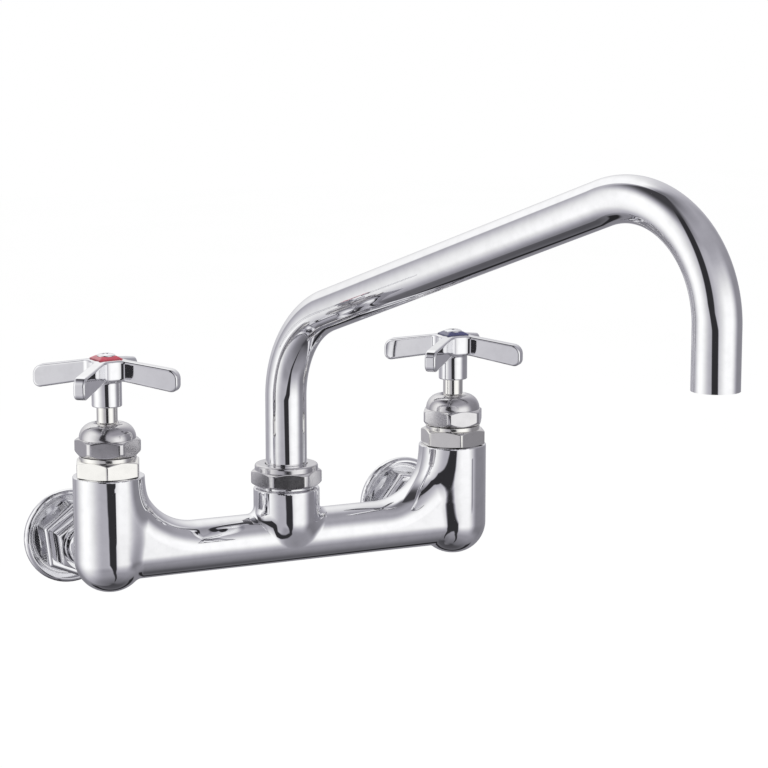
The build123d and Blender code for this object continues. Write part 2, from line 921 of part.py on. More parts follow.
def make_coupling_nut(side, name):
    """The hexagon nut over the collar, screwed on the wall flange's nipple."""
    view = inlet_view(side * column_x)
    turn = wall_hex_turn[name]
    with BuildPart() as nut:
        nut_blank(
            view,
            coupling_across,
            flange_hex_reach,
            nut_shoulder_reach,
            turn,
            coupling_foot_bevel,
            coupling_chamfer,
        )
        bored(view, nipple_radius + thread_gap, flange_hex_reach, collar_end)
        bored(view, tailpiece_radius + hole_gap, collar_end, nut_shoulder_reach)
    return nut


def make_coupling_washer(side):
    """The flat washer between the nipple and the tailpiece's collar."""
    with BuildPart() as washer:
        turned(
            inlet_view(side * column_x),
            (waterway_inlet_radius, nipple_reach),
            (collar_radius, nipple_reach),
            (collar_radius, washer_reach),
            (waterway_inlet_radius, washer_reach),
        )
    return washer


def make_wall_flange(side, name):
    """The dished round flange with its beaded rim, big hexagon, nipple and the pipe thread in its back."""
    view = inlet_view(side * column_x)
    hex_corner = flange_hex_across / 2 / math.cos(math.pi / 6)
    with BuildPart() as flange:
        hexagon(view, flange_hex_across, flange_groove_floor, flange_hex_reach, wall_hex_turn[name])
        with BuildSketch(view) as form:
            with BuildLine():
                Polyline(
                    (0, flange_groove_floor),
                    (hex_corner, flange_groove_floor),
                    (hex_corner - flange_hex_draft, flange_hex_reach),
                    (0, flange_hex_reach),
                    close=True,
                )
            make_face()
            fillet(form.vertices().group_by(Axis.X)[-2], flange_hex_round)
        revolve(form.sketch, axis=Axis(view.origin, view.y_dir), mode=Mode.INTERSECT)
        with BuildSketch(view) as plate:
            with BuildLine():
                bead_x = flange_radius - flange_bead
                Line((0, 0), (bead_x, 0))
                ThreePointArc((bead_x, 0), (flange_radius, flange_bead), (bead_x, 2 * flange_bead))
                Line((bead_x, 2 * flange_bead), (flange_groove_radius, flange_groove_floor))
                Line((flange_groove_radius, flange_groove_floor), (flange_dish_radius, flange_hex_start))
                Line((flange_dish_radius, flange_hex_start), (0, flange_hex_start))
                Line((0, flange_hex_start), (0, 0))
            make_face()
        revolve(plate.sketch, axis=Axis(view.origin, view.y_dir))
        turned(
            view,
            (0, flange_hex_start),
            (nipple_radius, flange_hex_start),
            (nipple_radius, nipple_reach),
            (0, nipple_reach),
        )
        bored(view, pipe_thread_radius, 0, pipe_thread_depth)
        bored(view, flange_waterway_radius, pipe_thread_depth, nipple_reach)
    return flange


os.makedirs("parts", exist_ok=True)

save(make_body(), "faucet_body")
save(make_spout_nut(), "spout_nut")
save(make_slip_ring(), "spout_slip_ring")
save(make_spout_tube(), "spout_tube")
save(make_ferrule(), "spout_ferrule")
save(make_o_rings(), "spout_o_rings")

for side, name in ((-1, "hot"), (1, "cold")):
    save(make_bonnet(side, name), f"{name}_bonnet")
    save(make_gasket(side), f"{name}_bonnet_gasket")
    save(make_packing_nut(side, name), f"{name}_packing_nut")
    save(make_packing_washer(side), f"{name}_packing_washer")
    save(make_stem_packing(side), f"{name}_stem_packing")
    save(make_spindle(side, name), f"{name}_spindle")
    save(make_disc_holder(side), f"{name}_disc_holder")
    save(make_seat_washer(side), f"{name}_seat_washer")
    save(make_washer_screw(side), f"{name}_washer_screw")
    save(make_valve_seat(side), f"{name}_valve_seat")
    save(make_handle(side, name), f"{name}_handle")
    save(make_index_ring(side, name), f"{name}_index_ring")
    save(make_handle_screw(side), f"{name}_handle_screw")
    save(make_tailpiece(side), f"{name}_inlet_tailpiece")
    save(make_coupling_nut(side, name), f"{name}_coupling_nut")
    save(make_coupling_washer(side), f"{name}_coupling_washer")
    save(make_wall_flange(side, name), f"{name}_wall_flange")
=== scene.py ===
"""Looks of a commercial wall faucet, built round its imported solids.

Laid out as an add-on and run as a script. Lengths are metres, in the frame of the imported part: the origin
on the wall midway between the inlets, +X to the right, -Y out from the wall, +Z up.
"""

import math

import bpy
import numpy as np
from mathutils import Matrix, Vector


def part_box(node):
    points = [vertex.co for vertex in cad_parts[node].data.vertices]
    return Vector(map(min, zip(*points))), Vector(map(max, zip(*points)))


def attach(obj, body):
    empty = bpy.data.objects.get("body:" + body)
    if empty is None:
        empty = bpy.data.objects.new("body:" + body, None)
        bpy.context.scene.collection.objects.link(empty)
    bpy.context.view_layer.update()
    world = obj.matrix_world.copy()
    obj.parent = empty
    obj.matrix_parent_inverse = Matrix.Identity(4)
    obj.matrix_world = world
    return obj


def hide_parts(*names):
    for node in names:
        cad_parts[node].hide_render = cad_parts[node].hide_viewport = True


bl_info = {
    "name": "Wall faucet",
    "version": (1, 0, 0),
    "blender": (4, 5, 0),
    "location": "View3D > Sidebar > Faucet",
    "description": "Builds the plated skins, finishes and studio of a two-valve wall faucet",
    "category": "Object",
}

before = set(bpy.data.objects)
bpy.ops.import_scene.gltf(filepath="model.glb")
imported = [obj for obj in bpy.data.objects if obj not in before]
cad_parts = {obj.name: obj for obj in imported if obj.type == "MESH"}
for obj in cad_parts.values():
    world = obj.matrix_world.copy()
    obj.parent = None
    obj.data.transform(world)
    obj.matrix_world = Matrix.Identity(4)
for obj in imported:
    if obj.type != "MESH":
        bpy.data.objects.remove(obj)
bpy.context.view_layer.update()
MM = 0.001
SIDES = (("hot", -1), ("cold", 1))


def length(label, millimetres, words):
    """A length property, given in millimetres and kept in metres."""
    return bpy.props.FloatProperty(
        name=label, description=words, default=millimetres * MM, unit="LENGTH", precision=5
    )


def angle(label, degrees, words):
    """An angle property, given in degrees and kept in radians."""
    return bpy.props.FloatProperty(
        name=label, description=words, default=math.radians(degrees), unit="ROTATION"
    )


def factor(label, share, words):
    """A share of one."""
    return bpy.props.FloatProperty(
        name=label, description=words, default=share, subtype="FACTOR", min=0.0, max=1.0
    )


def colour(label, rgb, words):
    """A colour property without alpha, in linear light."""
    return bpy.props.FloatVectorProperty(
        name=label, description=words, default=rgb, size=3, subtype="COLOR", min=0.0, max=1.0
    )


class FAUCET_PG_body(bpy.types.PropertyGroup):
    """Sizes of the casting and the layout that every other piece follows."""

    column_x: length("Column offset", 101.6, "Half the distance between the two inlets")
    wall_gap: length("Wall to body", 67.0, "Distance of the valve axes from the wall")
    rim: length("Rim height", 45.4, "Height of the columns' rims above the inlet axes")
    column_radius: length("Column radius", 18.6, "Outside radius of a valve column")
    column_depth: length("Column depth", 62.0, "Rim down to the foot of a column")
    column_round: length("Foot round", 18.0, "Round of the column's foot")
    bridge_radius: length("Bridge radius", 13.95, "Outside radius of the bridge")
    bridge_depth: length("Bridge depth", 42.75, "Rim down to the bridge's axis")
    elbow_radius: length("Elbow radius", 31.0, "Inner curve where the bridge rises into a column")
    elbow_throat: length("Elbow throat", 15.9, "Radius of the rising bridge at the column")
    boss_radius: length("Boss radius", 17.9, "Outside radius of the centre boss")
    boss_depth: length("Boss depth", 15.5, "Rim down to the boss's top face")
    boss_straight: length("Boss side", 17.0, "Straight side of the boss above its half ball")
    neck_radius: length("Neck radius", 15.4, "Threaded neck on the boss")
    inlet_radius: length("Inlet boss radius", 11.75, "Round boss on the back of each column")
    inlet_reach: length("Inlet boss reach", 32.5, "Distance of the inlet boss's end from the wall")
    casting_fillet: length("Casting fillet", 3.2, "Blend between columns and elbows")
    boss_fillet: length("Boss fillet", 4.4, "Soft blend round the centre boss")
    crease_fillet: length("Crease fillet", 1.6, "Tight blend under the bridge")
    inlet_fillet: length("Inlet fillet", 3.0, "Blend round the inlet bosses")
    blend_depth: length("Blend depth", 48.0, "Rim down to where the blends start to widen")
    blend_span: length("Blend span", 18.0, "Height over which the blends widen")
    elbow_bury: length("Elbow bury", 1.5, "How far the elbow's inner curve ends inside the column")
    elbow_turn: angle("Elbow turn", 80.0, "Turn of the elbow on its way up into the column")
    face_round: length("Face round", 0.8, "Round on the faces of the centre boss and the inlet bosses")
    rim_round: length("Rim round", 0.5, "Round on the rims of the columns")
    neck_middle: length("Neck middle", 13.0, "Rim down to the middle of the threaded neck")
    neck_half: length("Neck half height", 5.2, "Half the height of the threaded neck")
    mesh_step: length("Mesh step", 0.8, "Cell size of the worked-out casting skin")


class FAUCET_PG_valve(bpy.types.PropertyGroup):
    """Sizes of the visible valve pieces, with heights measured up from the column's rim."""

    bonnet_across: length("Bonnet across flats", 32.2, "Lower hexagon")
    bonnet_top: length("Bonnet hexagon top", 8.8, "Top of the lower hexagon")
    shoulder_radius: length("Shoulder radius", 15.0, "Round shoulder on the lower hexagon")
    shoulder_top: length("Shoulder top", 10.8, "Top of the round shoulder")
    nut_across: length("Packing nut across flats", 30.9, "Upper hexagon")
    nut_start: length("Packing nut start", 11.2, "Underside of the upper hexagon")
    nut_top: length("Packing nut hexagon top", 20.0, "Top of the upper hexagon")
    nut_corner: length("Corner flat", 1.1, "Twice the depth of the flat on each upright corner")
    nut_bevel: length("Bevel", 2.4, "Height of the turned bevel under the corners")
    nut_top_bevel: length("Top bevel", 1.4, "Height of the turned bevel over the corners")
    dome_radius: length("Dome radius", 14.9, "Radius of the dome at its foot")
    dome_top: length("Dome top", 28.0, "Top of the dome")
    dome_lip: length("Dome lip", 7.2, "Radius of the dome's flat top")
    stem_radius: length("Stem radius", 5.45, "Plain stem")
    stem_start: length("Stem start", 4.0, "Lower end of the plain stem")
    stem_top: length("Stem top", 38.4, "Shoulder under the square")
    hot_bonnet_turn: angle("Left bonnet turn", 9.0, "Direction of one corner of the left bonnet")
    cold_bonnet_turn: angle("Right bonnet turn", 17.6, "Direction of one corner of the right bonnet")
    hot_nut_turn: angle("Left nut turn", 35.0, "Direction of one corner of the left packing nut")
    cold_nut_turn: angle("Right nut turn", 56.0, "Direction of one corner of the right packing nut")


class FAUCET_PG_handle(bpy.types.PropertyGroup):
    """Sizes of the four-arm handles."""

    sleeve_radius: length("Sleeve radius", 7.9, "Round sleeve under the hub")
    sleeve_start: length("Sleeve start", 36.6, "Lower end of the sleeve above the rim")
    hub_radius: length("Hub radius", 8.8, "Radius of the hub between the arms")
    hub_top: length("Hub top", 61.3, "Top of the hub above the rim")
    arm_reach: length("Arm reach", 39.8, "Axis to the end of an arm")
    arm_thickness: length("Arm thickness", 6.4, "Width of an arm seen from above")
    arm_root: length("Arm root height", 10.9, "Height of an arm at the hub")
    top_droop: angle("Top droop", 8.0, "Fall of an arm's upper edge")
    under_droop: angle("Under droop", 10.0, "Fall of an arm's lower edge")
    tip_round: length("Tip round", 4.5, "Round of an arm's end, seen from the side")
    edge_round: length("Edge round", 1.3, "Round along an arm's edges")
    crotch: length("Crotch fillet", 3.2, "Blend between an arm and the hub")
    sleeve_joint: length("Sleeve joint", 1.2, "Blend between the arms and the sleeve")
    sleeve_round: length("Sleeve round", 0.6, "Round on the sleeve's lower edge")
    mesh_step: length("Mesh step", 0.46, "Cell size of the worked-out handle skin")
    index_reach: length("Index reach", 9.3, "Axis to a corner of the index plate")
    index_seat: length("Index seat", 5.8, "Axis to a corner of the flat top that the screw presses on")
    index_edge: length("Index edge", 0.5, "Thickness of the index plate at its rim")
    index_thickness: length("Index thickness", 2.0, "Thickness of the index plate at its middle")
    screw_radius: length("Screw head radius", 4.8, "Head of the handle screw")
    screw_head: length("Screw head height", 1.1, "Dome of the handle screw's head")
    slot_reach: length("Slot reach", 2.7, "Axis to the end of a slot of the cross recess")
    slot_half: length("Slot half width", 0.75, "Half the width of a slot at the top")
    slot_depth: length("Slot depth", 0.8, "Depth of the cross recess")
    hot_turn: angle("Left handle turn", -40.2, "Direction of one arm of the left handle")
    cold_turn: angle("Right handle turn", -46.4, "Direction of one arm of the right handle")
    hot_screw_turn: angle("Left screw turn", 20.0, "Direction of one slot of the left screw")
    cold_screw_turn: angle("Right screw turn", 62.0, "Direction of one slot of the right screw")


class FAUCET_PG_spout(bpy.types.PropertyGroup):
    """Sizes of the spout and its nut, with heights measured up from the columns' rims."""

    reach: length("Reach", 304.8, "Swivel axis to the outlet's axis")
    swing: angle("Swing", 14.5, "Rest position, turned to the right from straight out")
    rise: angle("Rise", 19.25, "Slope of the straight run")
    knee_height: length("Knee height", 72.0, "Where the riser's and the run's axes meet")
    knee_radius: length("Knee radius", 54.0, "Bend of the lower knee")
    crown_radius: length("Crown radius", 52.7, "Bend of the crown")
    outlet: length("Outlet height", 75.8, "Height of the open end")
    tube_radius: length("Tube radius", 11.1, "Outside radius of the tube")
    tube_wall: length("Tube wall", 1.2, "Thickness of the tube's wall")
    tube_start: length("Tube start", -20.0, "Lower end of the tube in its ferrule")
    nut_across: length("Nut across flats", 34.3, "Spout nut")
    nut_start: length("Nut start", -14.0, "Underside of the spout nut")
    nut_top: length("Nut hexagon top", -5.5, "Top of the spout nut's hexagon")
    nut_corner: length("Nut corner flat", 1.3, "Twice the depth of the flat on each upright corner")
    nut_bevel: length("Nut bevel", 1.4, "Height of the turned bevel at the corners")
    collar_radius: length("Collar radius", 17.1, "Round collar on the nut")
    collar_top: length("Collar top", -2.3, "Top of the collar")
    nut_turn: angle("Nut turn", 41.5, "Direction of one corner of the spout nut")
    knee_squeeze: factor("Knee squeeze", 0.055, "How much flatter the tube is in the middle of the knee")
    crown_squeeze: factor("Crown squeeze", 0.02, "How much flatter the tube is in the middle of the crown")


class FAUCET_PG_wall(bpy.types.PropertyGroup):
    """Sizes of the wall ends, with reaches measured out from the wall."""

    flange_radius: length("Flange radius", 26.05, "Outside of the round rim")
    bead: length("Bead", 2.55, "Half the thickness of the rolled rim")
    groove_radius: length("Groove radius", 21.3, "Bottom of the dish beside the rim")
    groove_floor: length("Groove floor", 1.3, "Reach of the dish's bottom")
    dish_radius: length("Dish radius", 17.6, "Top of the dish at the hexagon")
    hex_across: length("Hexagon across flats", 36.0, "Big hexagon of the flange")
    hex_start: length("Hexagon start", 8.3, "Where the dish meets the hexagon")
    hex_reach: length("Hexagon reach", 18.7, "Front face of the big hexagon")
    hex_round: length("Hexagon round", 1.8, "Soft edge of the big hexagon")
    nipple_radius: length("Nipple radius", 10.5, "Threaded nipple in front of the hexagon")
    nipple_reach: length("Nipple reach", 23.7, "Front end of the nipple")
    nut_across: length("Coupling nut across flats", 28.0, "Coupling nut")
    nut_reach: length("Coupling nut reach", 31.2, "Front face of the coupling nut")
    nut_chamfer: length("Coupling nut chamfer", 1.6, "Turned chamfer on the nut's front")
    tail_radius: length("Tailpiece radius", 8.4, "Tube between the nut and the body")
    tail_bore: length("Tailpiece bore", 6.5, "Inside radius of the tailpiece")
    collar_radius: length("Tailpiece collar radius", 9.9, "Collar that the coupling nut pulls on")
    collar_thickness: length("Tailpiece collar", 2.45, "Thickness of the collar")
    thread_bore: length("Thread bore", 9.13, "Radius of the hole for the pipe thread")
    hot_hex_turn: angle("Left hexagons turn", 7.0, "Direction of one corner of the left flange and nut")
    cold_hex_turn: angle("Right hexagons turn", 21.0, "Direction of one corner of the right flange and nut")


class FAUCET_PG_finish(bpy.types.PropertyGroup):
    """Colours of the finishes."""

    plate: colour("Bright plate", (0.86, 0.86, 0.875), "Chrome on the casting, tube and handles")
    turned: colour("Turned plate", (0.70, 0.69, 0.70), "Chrome over turned hexagons")
    milled: colour("Milled plate", (0.86, 0.85, 0.82), "Thin plate over milled flats")
    hot: colour("Left index", (0.42, 0.03, 0.06), "Index colour of the left handle")
    cold: colour("Right index", (0.030, 0.032, 0.11), "Index colour of the right handle")
    brass: colour("Brass", (0.60, 0.42, 0.17), "Bare brass inside the valves")
    rubber: colour("Rubber", (0.025, 0.025, 0.026), "Washers and O-rings")
    fibre: colour("Fibre", (0.20, 0.06, 0.03), "Bonnet gaskets")
    packing: colour("Packing", (0.70, 0.68, 0.62), "Stem packing and slip ring")
    backdrop: colour("Backdrop", (1.0, 1.0, 1.0), "Floor and background")


class FAUCET_PG_studio(bpy.types.PropertyGroup):
    """The stage that the metal mirrors."""

    dome: length("Dome", 1300.0, "Radius of the mirrored walls")
    floor: length("Floor", -350.0, "Height of the floor")
    gain: bpy.props.FloatProperty(name="Gain", description="Light of the walls", default=1.16, min=0.0)
    lamp: bpy.props.FloatProperty(name="Lamp", description="Power of the lamp", default=9.0, unit="POWER")


# ---- shapes as numpy arrays ----


def smooth(share):
    """Soft step: share squared times (3 - 2 share), level at both ends."""
    return share * share * (3 - 2 * share)


def round_union(a, b, size):
    """Joins two distance fields with a circular fillet.

    It is max(size, min(a, b)) less the length of the two overlaps of size beyond a and beyond b.
    """
    inner = np.hypot(np.maximum(size - a, 0), np.maximum(size - b, 0))
    return np.maximum(size, np.minimum(a, b)) - inner


def round_cut(a, b, size):
    """Keeps what two distance fields share, with a circular round of the given size on the edge."""
    return -round_union(-a, -b, size)


def zero_surface(field, axes, rounds=5):
    """The surface where a field of (x, y, z) is zero, as vertices and quads.

    Each cell of the grid that the surface crosses gets one vertex, first at the mean of the crossings on
    the cell's twelve edges. Each grid edge with a change of sign gets one quad through its four cells.
    Then, in every round, each vertex moves back along the gradient by field / gradient length, in all but
    the last two rounds after a move to the mean of its neighbours.
    """
    x, y, z = axes
    grid = np.stack(np.meshgrid(x, y, z, indexing="ij"), axis=-1)
    value = field(grid[..., 0], grid[..., 1], grid[..., 2])
    inside = value < 0
    shape = [n - 1 for n in inside.shape]
    total = np.zeros((*shape, 3))
    count = np.zeros(shape)
    crossings = []
    for axis in range(3):
        low = [slice(None)] * 3
        high = [slice(None)] * 3
        low[axis] = slice(0, -1)
        high[axis] = slice(1, None)
        low, high = tuple(low), tuple(high)
        crossed = inside[low] != inside[high]
        where = np.argwhere(crossed)
        va, vb = value[low][crossed], value[high][crossed]
        share = (va / (va - vb))[:, None]
        points = grid[low][crossed] * (1 - share) + grid[high][crossed] * share
        others = [n for n in range(3) if n != axis]
        cells = []
        for da, db in ((0, 0), (1, 0), (1, 1), (0, 1)):
            cell = where.copy()
            cell[:, others[0]] -= da
            cell[:, others[1]] -= db
            np.add.at(total, tuple(cell.T), points)
            np.add.at(count, tuple(cell.T), 1)
            cells.append(cell)
        flip = inside[low][crossed] == (axis != 1)
        crossings.append((np.stack(cells, axis=1), flip))
    used = count > 0
    number = np.full(shape, -1)
    number[used] = np.arange(used.sum())
    points = total[used] / count[used][:, None]
    quads = []
    for cells, flip in crossings:
        quad = number[cells[..., 0], cells[..., 1], cells[..., 2]]
        quad[flip] = quad[flip][:, ::-1]
        quads.append(quad)
    quads = np.concatenate(quads)
    for turn in range(rounds):
        if turn < rounds - 2:
            points = relaxed(points, quads)
        points = on_surface(field, points)[0]
    points, normals = on_surface(field, points)
    return points, quads, normals


def relaxed(points, quads):
    """Each vertex moved to the mean of the corners next to it round every quad that it belongs to."""
    total = np.zeros_like(points)
    count = np.zeros(len(points))
    for corner in range(4):
        here = quads[:, corner]
        for other in (quads[:, corner - 1], quads[:, (corner + 1) % 4]):
            for axis in range(3):
                total[:, axis] += np.bincount(here, points[other, axis], len(points))
            count += np.bincount(here, minlength=len(points))
    return total / count[:, None]


def on_surface(field, points, nudge=2e-5):
    """Points moved back along the field's gradient by value / gradient length, and the unit gradients."""
    gradient = np.empty_like(points)
    for axis in range(3):
        step = np.zeros(3)
        step[axis] = nudge
        ahead = field(*(points + step).T)
        behind = field(*(points - step).T)
        gradient[:, axis] = (ahead - behind) / (2 * nudge)
    size = np.linalg.norm(gradient, axis=1, keepdims=True) + 1e-9
    value = field(*points.T)[:, None]
    return points - gradient * value / size**2, gradient / size


def eased(outline, ease, steps=4):
    """A closed outline with its corners rounded off.

    Each corner gives way to steps + 1 points of the parabola (1-t)^2 A + 2t(1-t) P + t^2 B, where P is the
    corner and A and B lie its ease away from it along both edges, or at most 0.45 of an edge. Points may be
    arrays over the angle, so one call shapes a whole hexagon.
    """
    outline = np.stack([np.stack(np.broadcast_arrays(*point)) for point in spread(outline)])
    ease = np.asarray(ease, float)[:, None, None]
    before, after = np.roll(outline, 1, axis=0), np.roll(outline, -1, axis=0)
    rows = []
    sides = []
    for other in (before, after):
        edge = other - outline
        size = np.maximum(np.linalg.norm(edge, axis=1, keepdims=True), 1e-9)
        sides.append(outline + edge * np.minimum(ease / size, 0.45))
    for t in np.linspace(0, 1, steps + 1):
        rows.append((1 - t) ** 2 * sides[0] + 2 * t * (1 - t) * outline + t**2 * sides[1])
    rows = np.stack(rows, axis=1)
    return rows.reshape(-1, *rows.shape[2:])


def eased_open(outline, ease, steps=4):
    """An open outline with its inner corners rounded off in the same way, its two ends kept."""
    outline = np.asarray(outline, float)
    closed = eased([*outline, outline[0]], np.full(len(outline) + 1, ease), steps)
    rows = closed[steps + 1 : -2 * (steps + 1)]
    return np.concatenate([outline[:1, :, None], rows, outline[-1:, :, None]])


def spread(outline):
    """The outline's points, each coordinate as an array over the same angles."""
    width = max(np.size(value) for point in outline for value in point)
    return [[np.broadcast_to(np.asarray(value, float), (width,)) for value in point] for point in outline]


def flats_radius(theta, across, turn, sides=6, corner=0.0, power=140):
    """Radius of a prism with flats and one corner at angle turn.

    It is the apothem over the power mean of cos(angle to each flat). With a corner size, as many more flats
    cut the corners half that far below their points.
    """
    half = math.pi / sides
    total = sum(np.maximum(np.cos(theta - turn - half * (2 * k + 1)), 0) ** power for k in range(sides))
    if corner > 0:
        ratio = 1 / (1 / math.cos(half) - corner / across)
        corners = (np.maximum(np.cos(theta - turn - half * 2 * k), 0) * ratio for k in range(sides))
        total = total + sum(share**power for share in corners)
    return across / 2 * total ** (-1 / power)


def corner_angles(turn, sides=6, count=432, crowd=0.75):
    """Angles once round, crowded at a prism's corners: u - crowd / sides * sin(sides * (u - turn))."""
    u = np.linspace(0, 2 * math.pi, count, endpoint=False)
    return u - crowd / sides * np.sin(sides * (u - turn))


def nut_rows(side, across, low, high, bevel_low, bevel_high, inner):
    """Outline of a hexagon nut blank at each angle: flats between two turned cones, over a round bore.

    The cones rise by bevel * (side radius - edge) / (corner radius - apothem), from an edge 1.5 % under the
    apothem.
    """
    apothem = across / 2
    edge = 0.985
    share = np.maximum(side / apothem - edge, 0) / (1 / math.cos(math.pi / 6) - 1)
    face = np.minimum(side, apothem * edge)
    return [
        (inner, low),
        (face, low),
        (side, low + bevel_low * share),
        (side, high - bevel_high * share),
        (face, high),
        (inner, high),
    ]


UPRIGHT = ((1, 0, 0), (0, 1, 0), (0, 0, 1))
OUTWARD = ((0, 0, 1), (-1, 0, 0), (0, -1, 0))


def turned_points(rows, theta, origin, directions):
    """Points of (radius, height) rows: origin + radius * (cos * first + sin * second) + height * third."""
    first, second, third = (np.array(direction, float) for direction in directions)
    radius, height = (np.broadcast_to(rows[:, n], (len(rows), len(theta)))[..., None] for n in (0, 1))
    around = np.cos(theta)[:, None] * first + np.sin(theta)[:, None] * second
    return np.array(origin) + radius * around + height * third


def grid_faces(rows, columns, closed_rows):
    """Quads of a grid whose columns close on themselves, and its rows too where closed_rows is true."""
    row = np.arange(rows if closed_rows else rows - 1)[:, None]
    column = np.arange(columns)[None, :]
    ahead, beside = (row + 1) % rows, (column + 1) % columns
    here, next_row = row * columns, ahead * columns
    corners = (here + column, here + beside, next_row + beside, next_row + column)
    return np.stack([np.broadcast_to(c, (len(row), columns)) for c in corners], axis=-1).reshape(-1, 4)


def ring_shell(rows, origin, directions=UPRIGHT, theta=None):
    """A closed outline turned about an axis: points on a grid, and quads that close both ways."""
    theta = np.linspace(0, 2 * math.pi, 176, endpoint=False) if theta is None else theta
    points = turned_points(rows, theta, origin, directions)
    return points.reshape(-1, 3), [grid_faces(points.shape[0], points.shape[1], True)]


def solid_shell(rows, origin, directions=UPRIGHT, theta=None):
    """An open outline turned about an axis, its two ends drawn in to one point each on the axis by a fan."""
    theta = np.linspace(0, 2 * math.pi, 176, endpoint=False) if theta is None else theta
    points = turned_points(rows, theta, origin, directions)
    count, columns = points.shape[:2]
    poles = np.stack([points[0].mean(axis=0), points[-1].mean(axis=0)])
    around = np.arange(columns)
    beside = (around + 1) % columns
    last = (count - 1) * columns
    first_fan = np.stack([np.full(columns, count * columns), beside, around], axis=1)
    last_fan = np.stack([np.full(columns, count * columns + 1), last + around, last + beside], axis=1)
    faces = [grid_faces(count, columns, False), first_fan, last_fan]
    return np.concatenate([points.reshape(-1, 3), poles]), faces


def band_shell(inner, outer, low, high, ease, origin, directions=UPRIGHT, steps=4):
    """A turned ring between two radii and two heights, with an ease in mm at each of its four corners."""
    outline = [(inner, low), (outer, low), (outer, high), (inner, high)]
    return ring_shell(eased(outline, np.array(ease) * MM, steps), origin, directions)


def hexagon_shell(
    across, heights, bevels, bore, ease, origin, turn, directions=UPRIGHT, corner=0.0, power=140
):
    """A hexagon nut blank from nut_rows, with an ease in mm at each of its six rows."""
    theta = corner_angles(turn)
    side = flats_radius(theta, across, turn, corner=corner, power=power)
    rows = eased(nut_rows(side, across, *heights, *bevels, bore), np.array(ease) * MM)
    return ring_shell(rows, origin, directions, theta)


def bent_line(start, heading, stretches):
    """A line of straight runs and downward bends in one plane, as points, headings and squeezes.

    A stretch is (length, turn, steps, squeeze). As s goes from 0 to 1 the heading h falls from h0 by
    turn * s. A straight run moves by length * s * (cos h, sin h). A bend moves by length / turn times
    (sin h0 - sin h, cos h - cos h0), and its squeeze grows and fades as sin(pi s) squared. Every stretch
    but the last leaves its end to the next.
    """
    points, headings, squeezes = [], [], []
    place = np.array(start, float)
    for run, turn, steps, squeeze in stretches:
        share = np.linspace(0, 1, steps + 1)
        angles = heading - turn * share
        if turn:
            bend = np.stack([math.sin(heading) - np.sin(angles), np.cos(angles) - math.cos(heading)], axis=-1)
            moved = run / turn * bend
        else:
            moved = run * share[:, None] * np.array([math.cos(heading), math.sin(heading)])
        points.append(place + moved)
        headings.append(angles)
        squeezes.append(squeeze * np.sin(np.pi * share) ** 2)
        place, heading = points[-1][-1], angles[-1]
    lines = ([*(rows[:-1] for rows in line[:-1]), line[-1]] for line in (points, headings, squeezes))
    return tuple(np.concatenate(line) for line in lines)


def add_mesh(name, *shells, normals=None):
    """A smooth mesh object from shells of (points, face arrays), turned outwards by their volumes' signs."""
    all_points, all_corners, sizes, offset = [], [], [], 0
    for points, face_sets in shells:
        centre = points.mean(axis=0)
        volume = 0.0
        for faces in face_sets:
            a, b, c, d = (points[faces[:, n]] - centre for n in (0, 1, 2, -1))
            volume += np.einsum("ij,ij->", a, np.cross(b, c)) + np.einsum("ij,ij->", a, np.cross(c, d))
        for faces in face_sets:
            faces = (faces if volume > 0 else faces[:, ::-1]) + offset
            all_corners.append(faces.ravel())
            sizes.append(np.full(len(faces), faces.shape[1]))
        all_points.append(points)
        offset += len(points)
    points, corners, sizes = (np.concatenate(part) for part in (all_points, all_corners, sizes))
    mesh = bpy.data.meshes.new(name)
    mesh.vertices.add(len(points))
    mesh.vertices.foreach_set("co", points.astype(np.float32).ravel())
    mesh.loops.add(len(corners))
    mesh.loops.foreach_set("vertex_index", corners.astype(np.int32))
    mesh.polygons.add(len(sizes))
    mesh.polygons.foreach_set("loop_start", (np.cumsum(sizes) - sizes).astype(np.int32))
    mesh.update(calc_edges=True)
    mesh.validate()
    mesh.shade_smooth()
    piece = bpy.data.objects.new(name, mesh)
    bpy.context.scene.collection.objects.link(piece)
    if normals is None:
        piece.modifiers.new("weighted_normals", "WEIGHTED_NORMAL").keep_sharp = True
    else:
        mesh.normals_split_custom_set_from_vertices(normals.astype(np.float32))
    return piece


def plain_mesh(name, points, faces, material):
    """A stage mesh from points and a list of faces."""
    mesh = bpy.data.meshes.new(name)
    mesh.from_pydata(points.tolist(), [], faces)
    mesh.materials.append(material)
    stage_piece = bpy.data.objects.new(name, mesh)
    bpy.context.scene.collection.objects.link(stage_piece)
    return stage_piece


def dress(piece, body, nodes, material):
    """Gives a new piece its material and its body, and hides the nodes that it stands for."""
    piece.data.materials.append(material)
    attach(piece, body)
    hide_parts(*nodes)


# ---- finishes as node trees ----


class Wire:
    """An output socket that takes part in sums; each operator adds one Math node."""

    def __init__(self, work, socket):
        self.work = work
        self.socket = socket

    def math(self, operation, *values):
        return self.work.node("ShaderNodeMath", {"operation": operation}, dict(enumerate(values)))

    def __add__(self, other):
        return self.math("ADD", self, other)

    __radd__ = __add__

    def __sub__(self, other):
        return self.math("SUBTRACT", self, other)

    def __rsub__(self, other):
        return self.math("SUBTRACT", other, self)

    def __mul__(self, other):
        return self.math("MULTIPLY", self, other)

    __rmul__ = __mul__

    def ramp(self, low, high, start=0.0, end=1.0):
        """Smooth step of this value from start at low to end at high."""
        return self.work.node(
            "ShaderNodeMapRange",
            {"interpolation_type": "SMOOTHSTEP"},
            {"Value": self, "From Min": low, "From Max": high, "To Min": start, "To Max": end},
        )


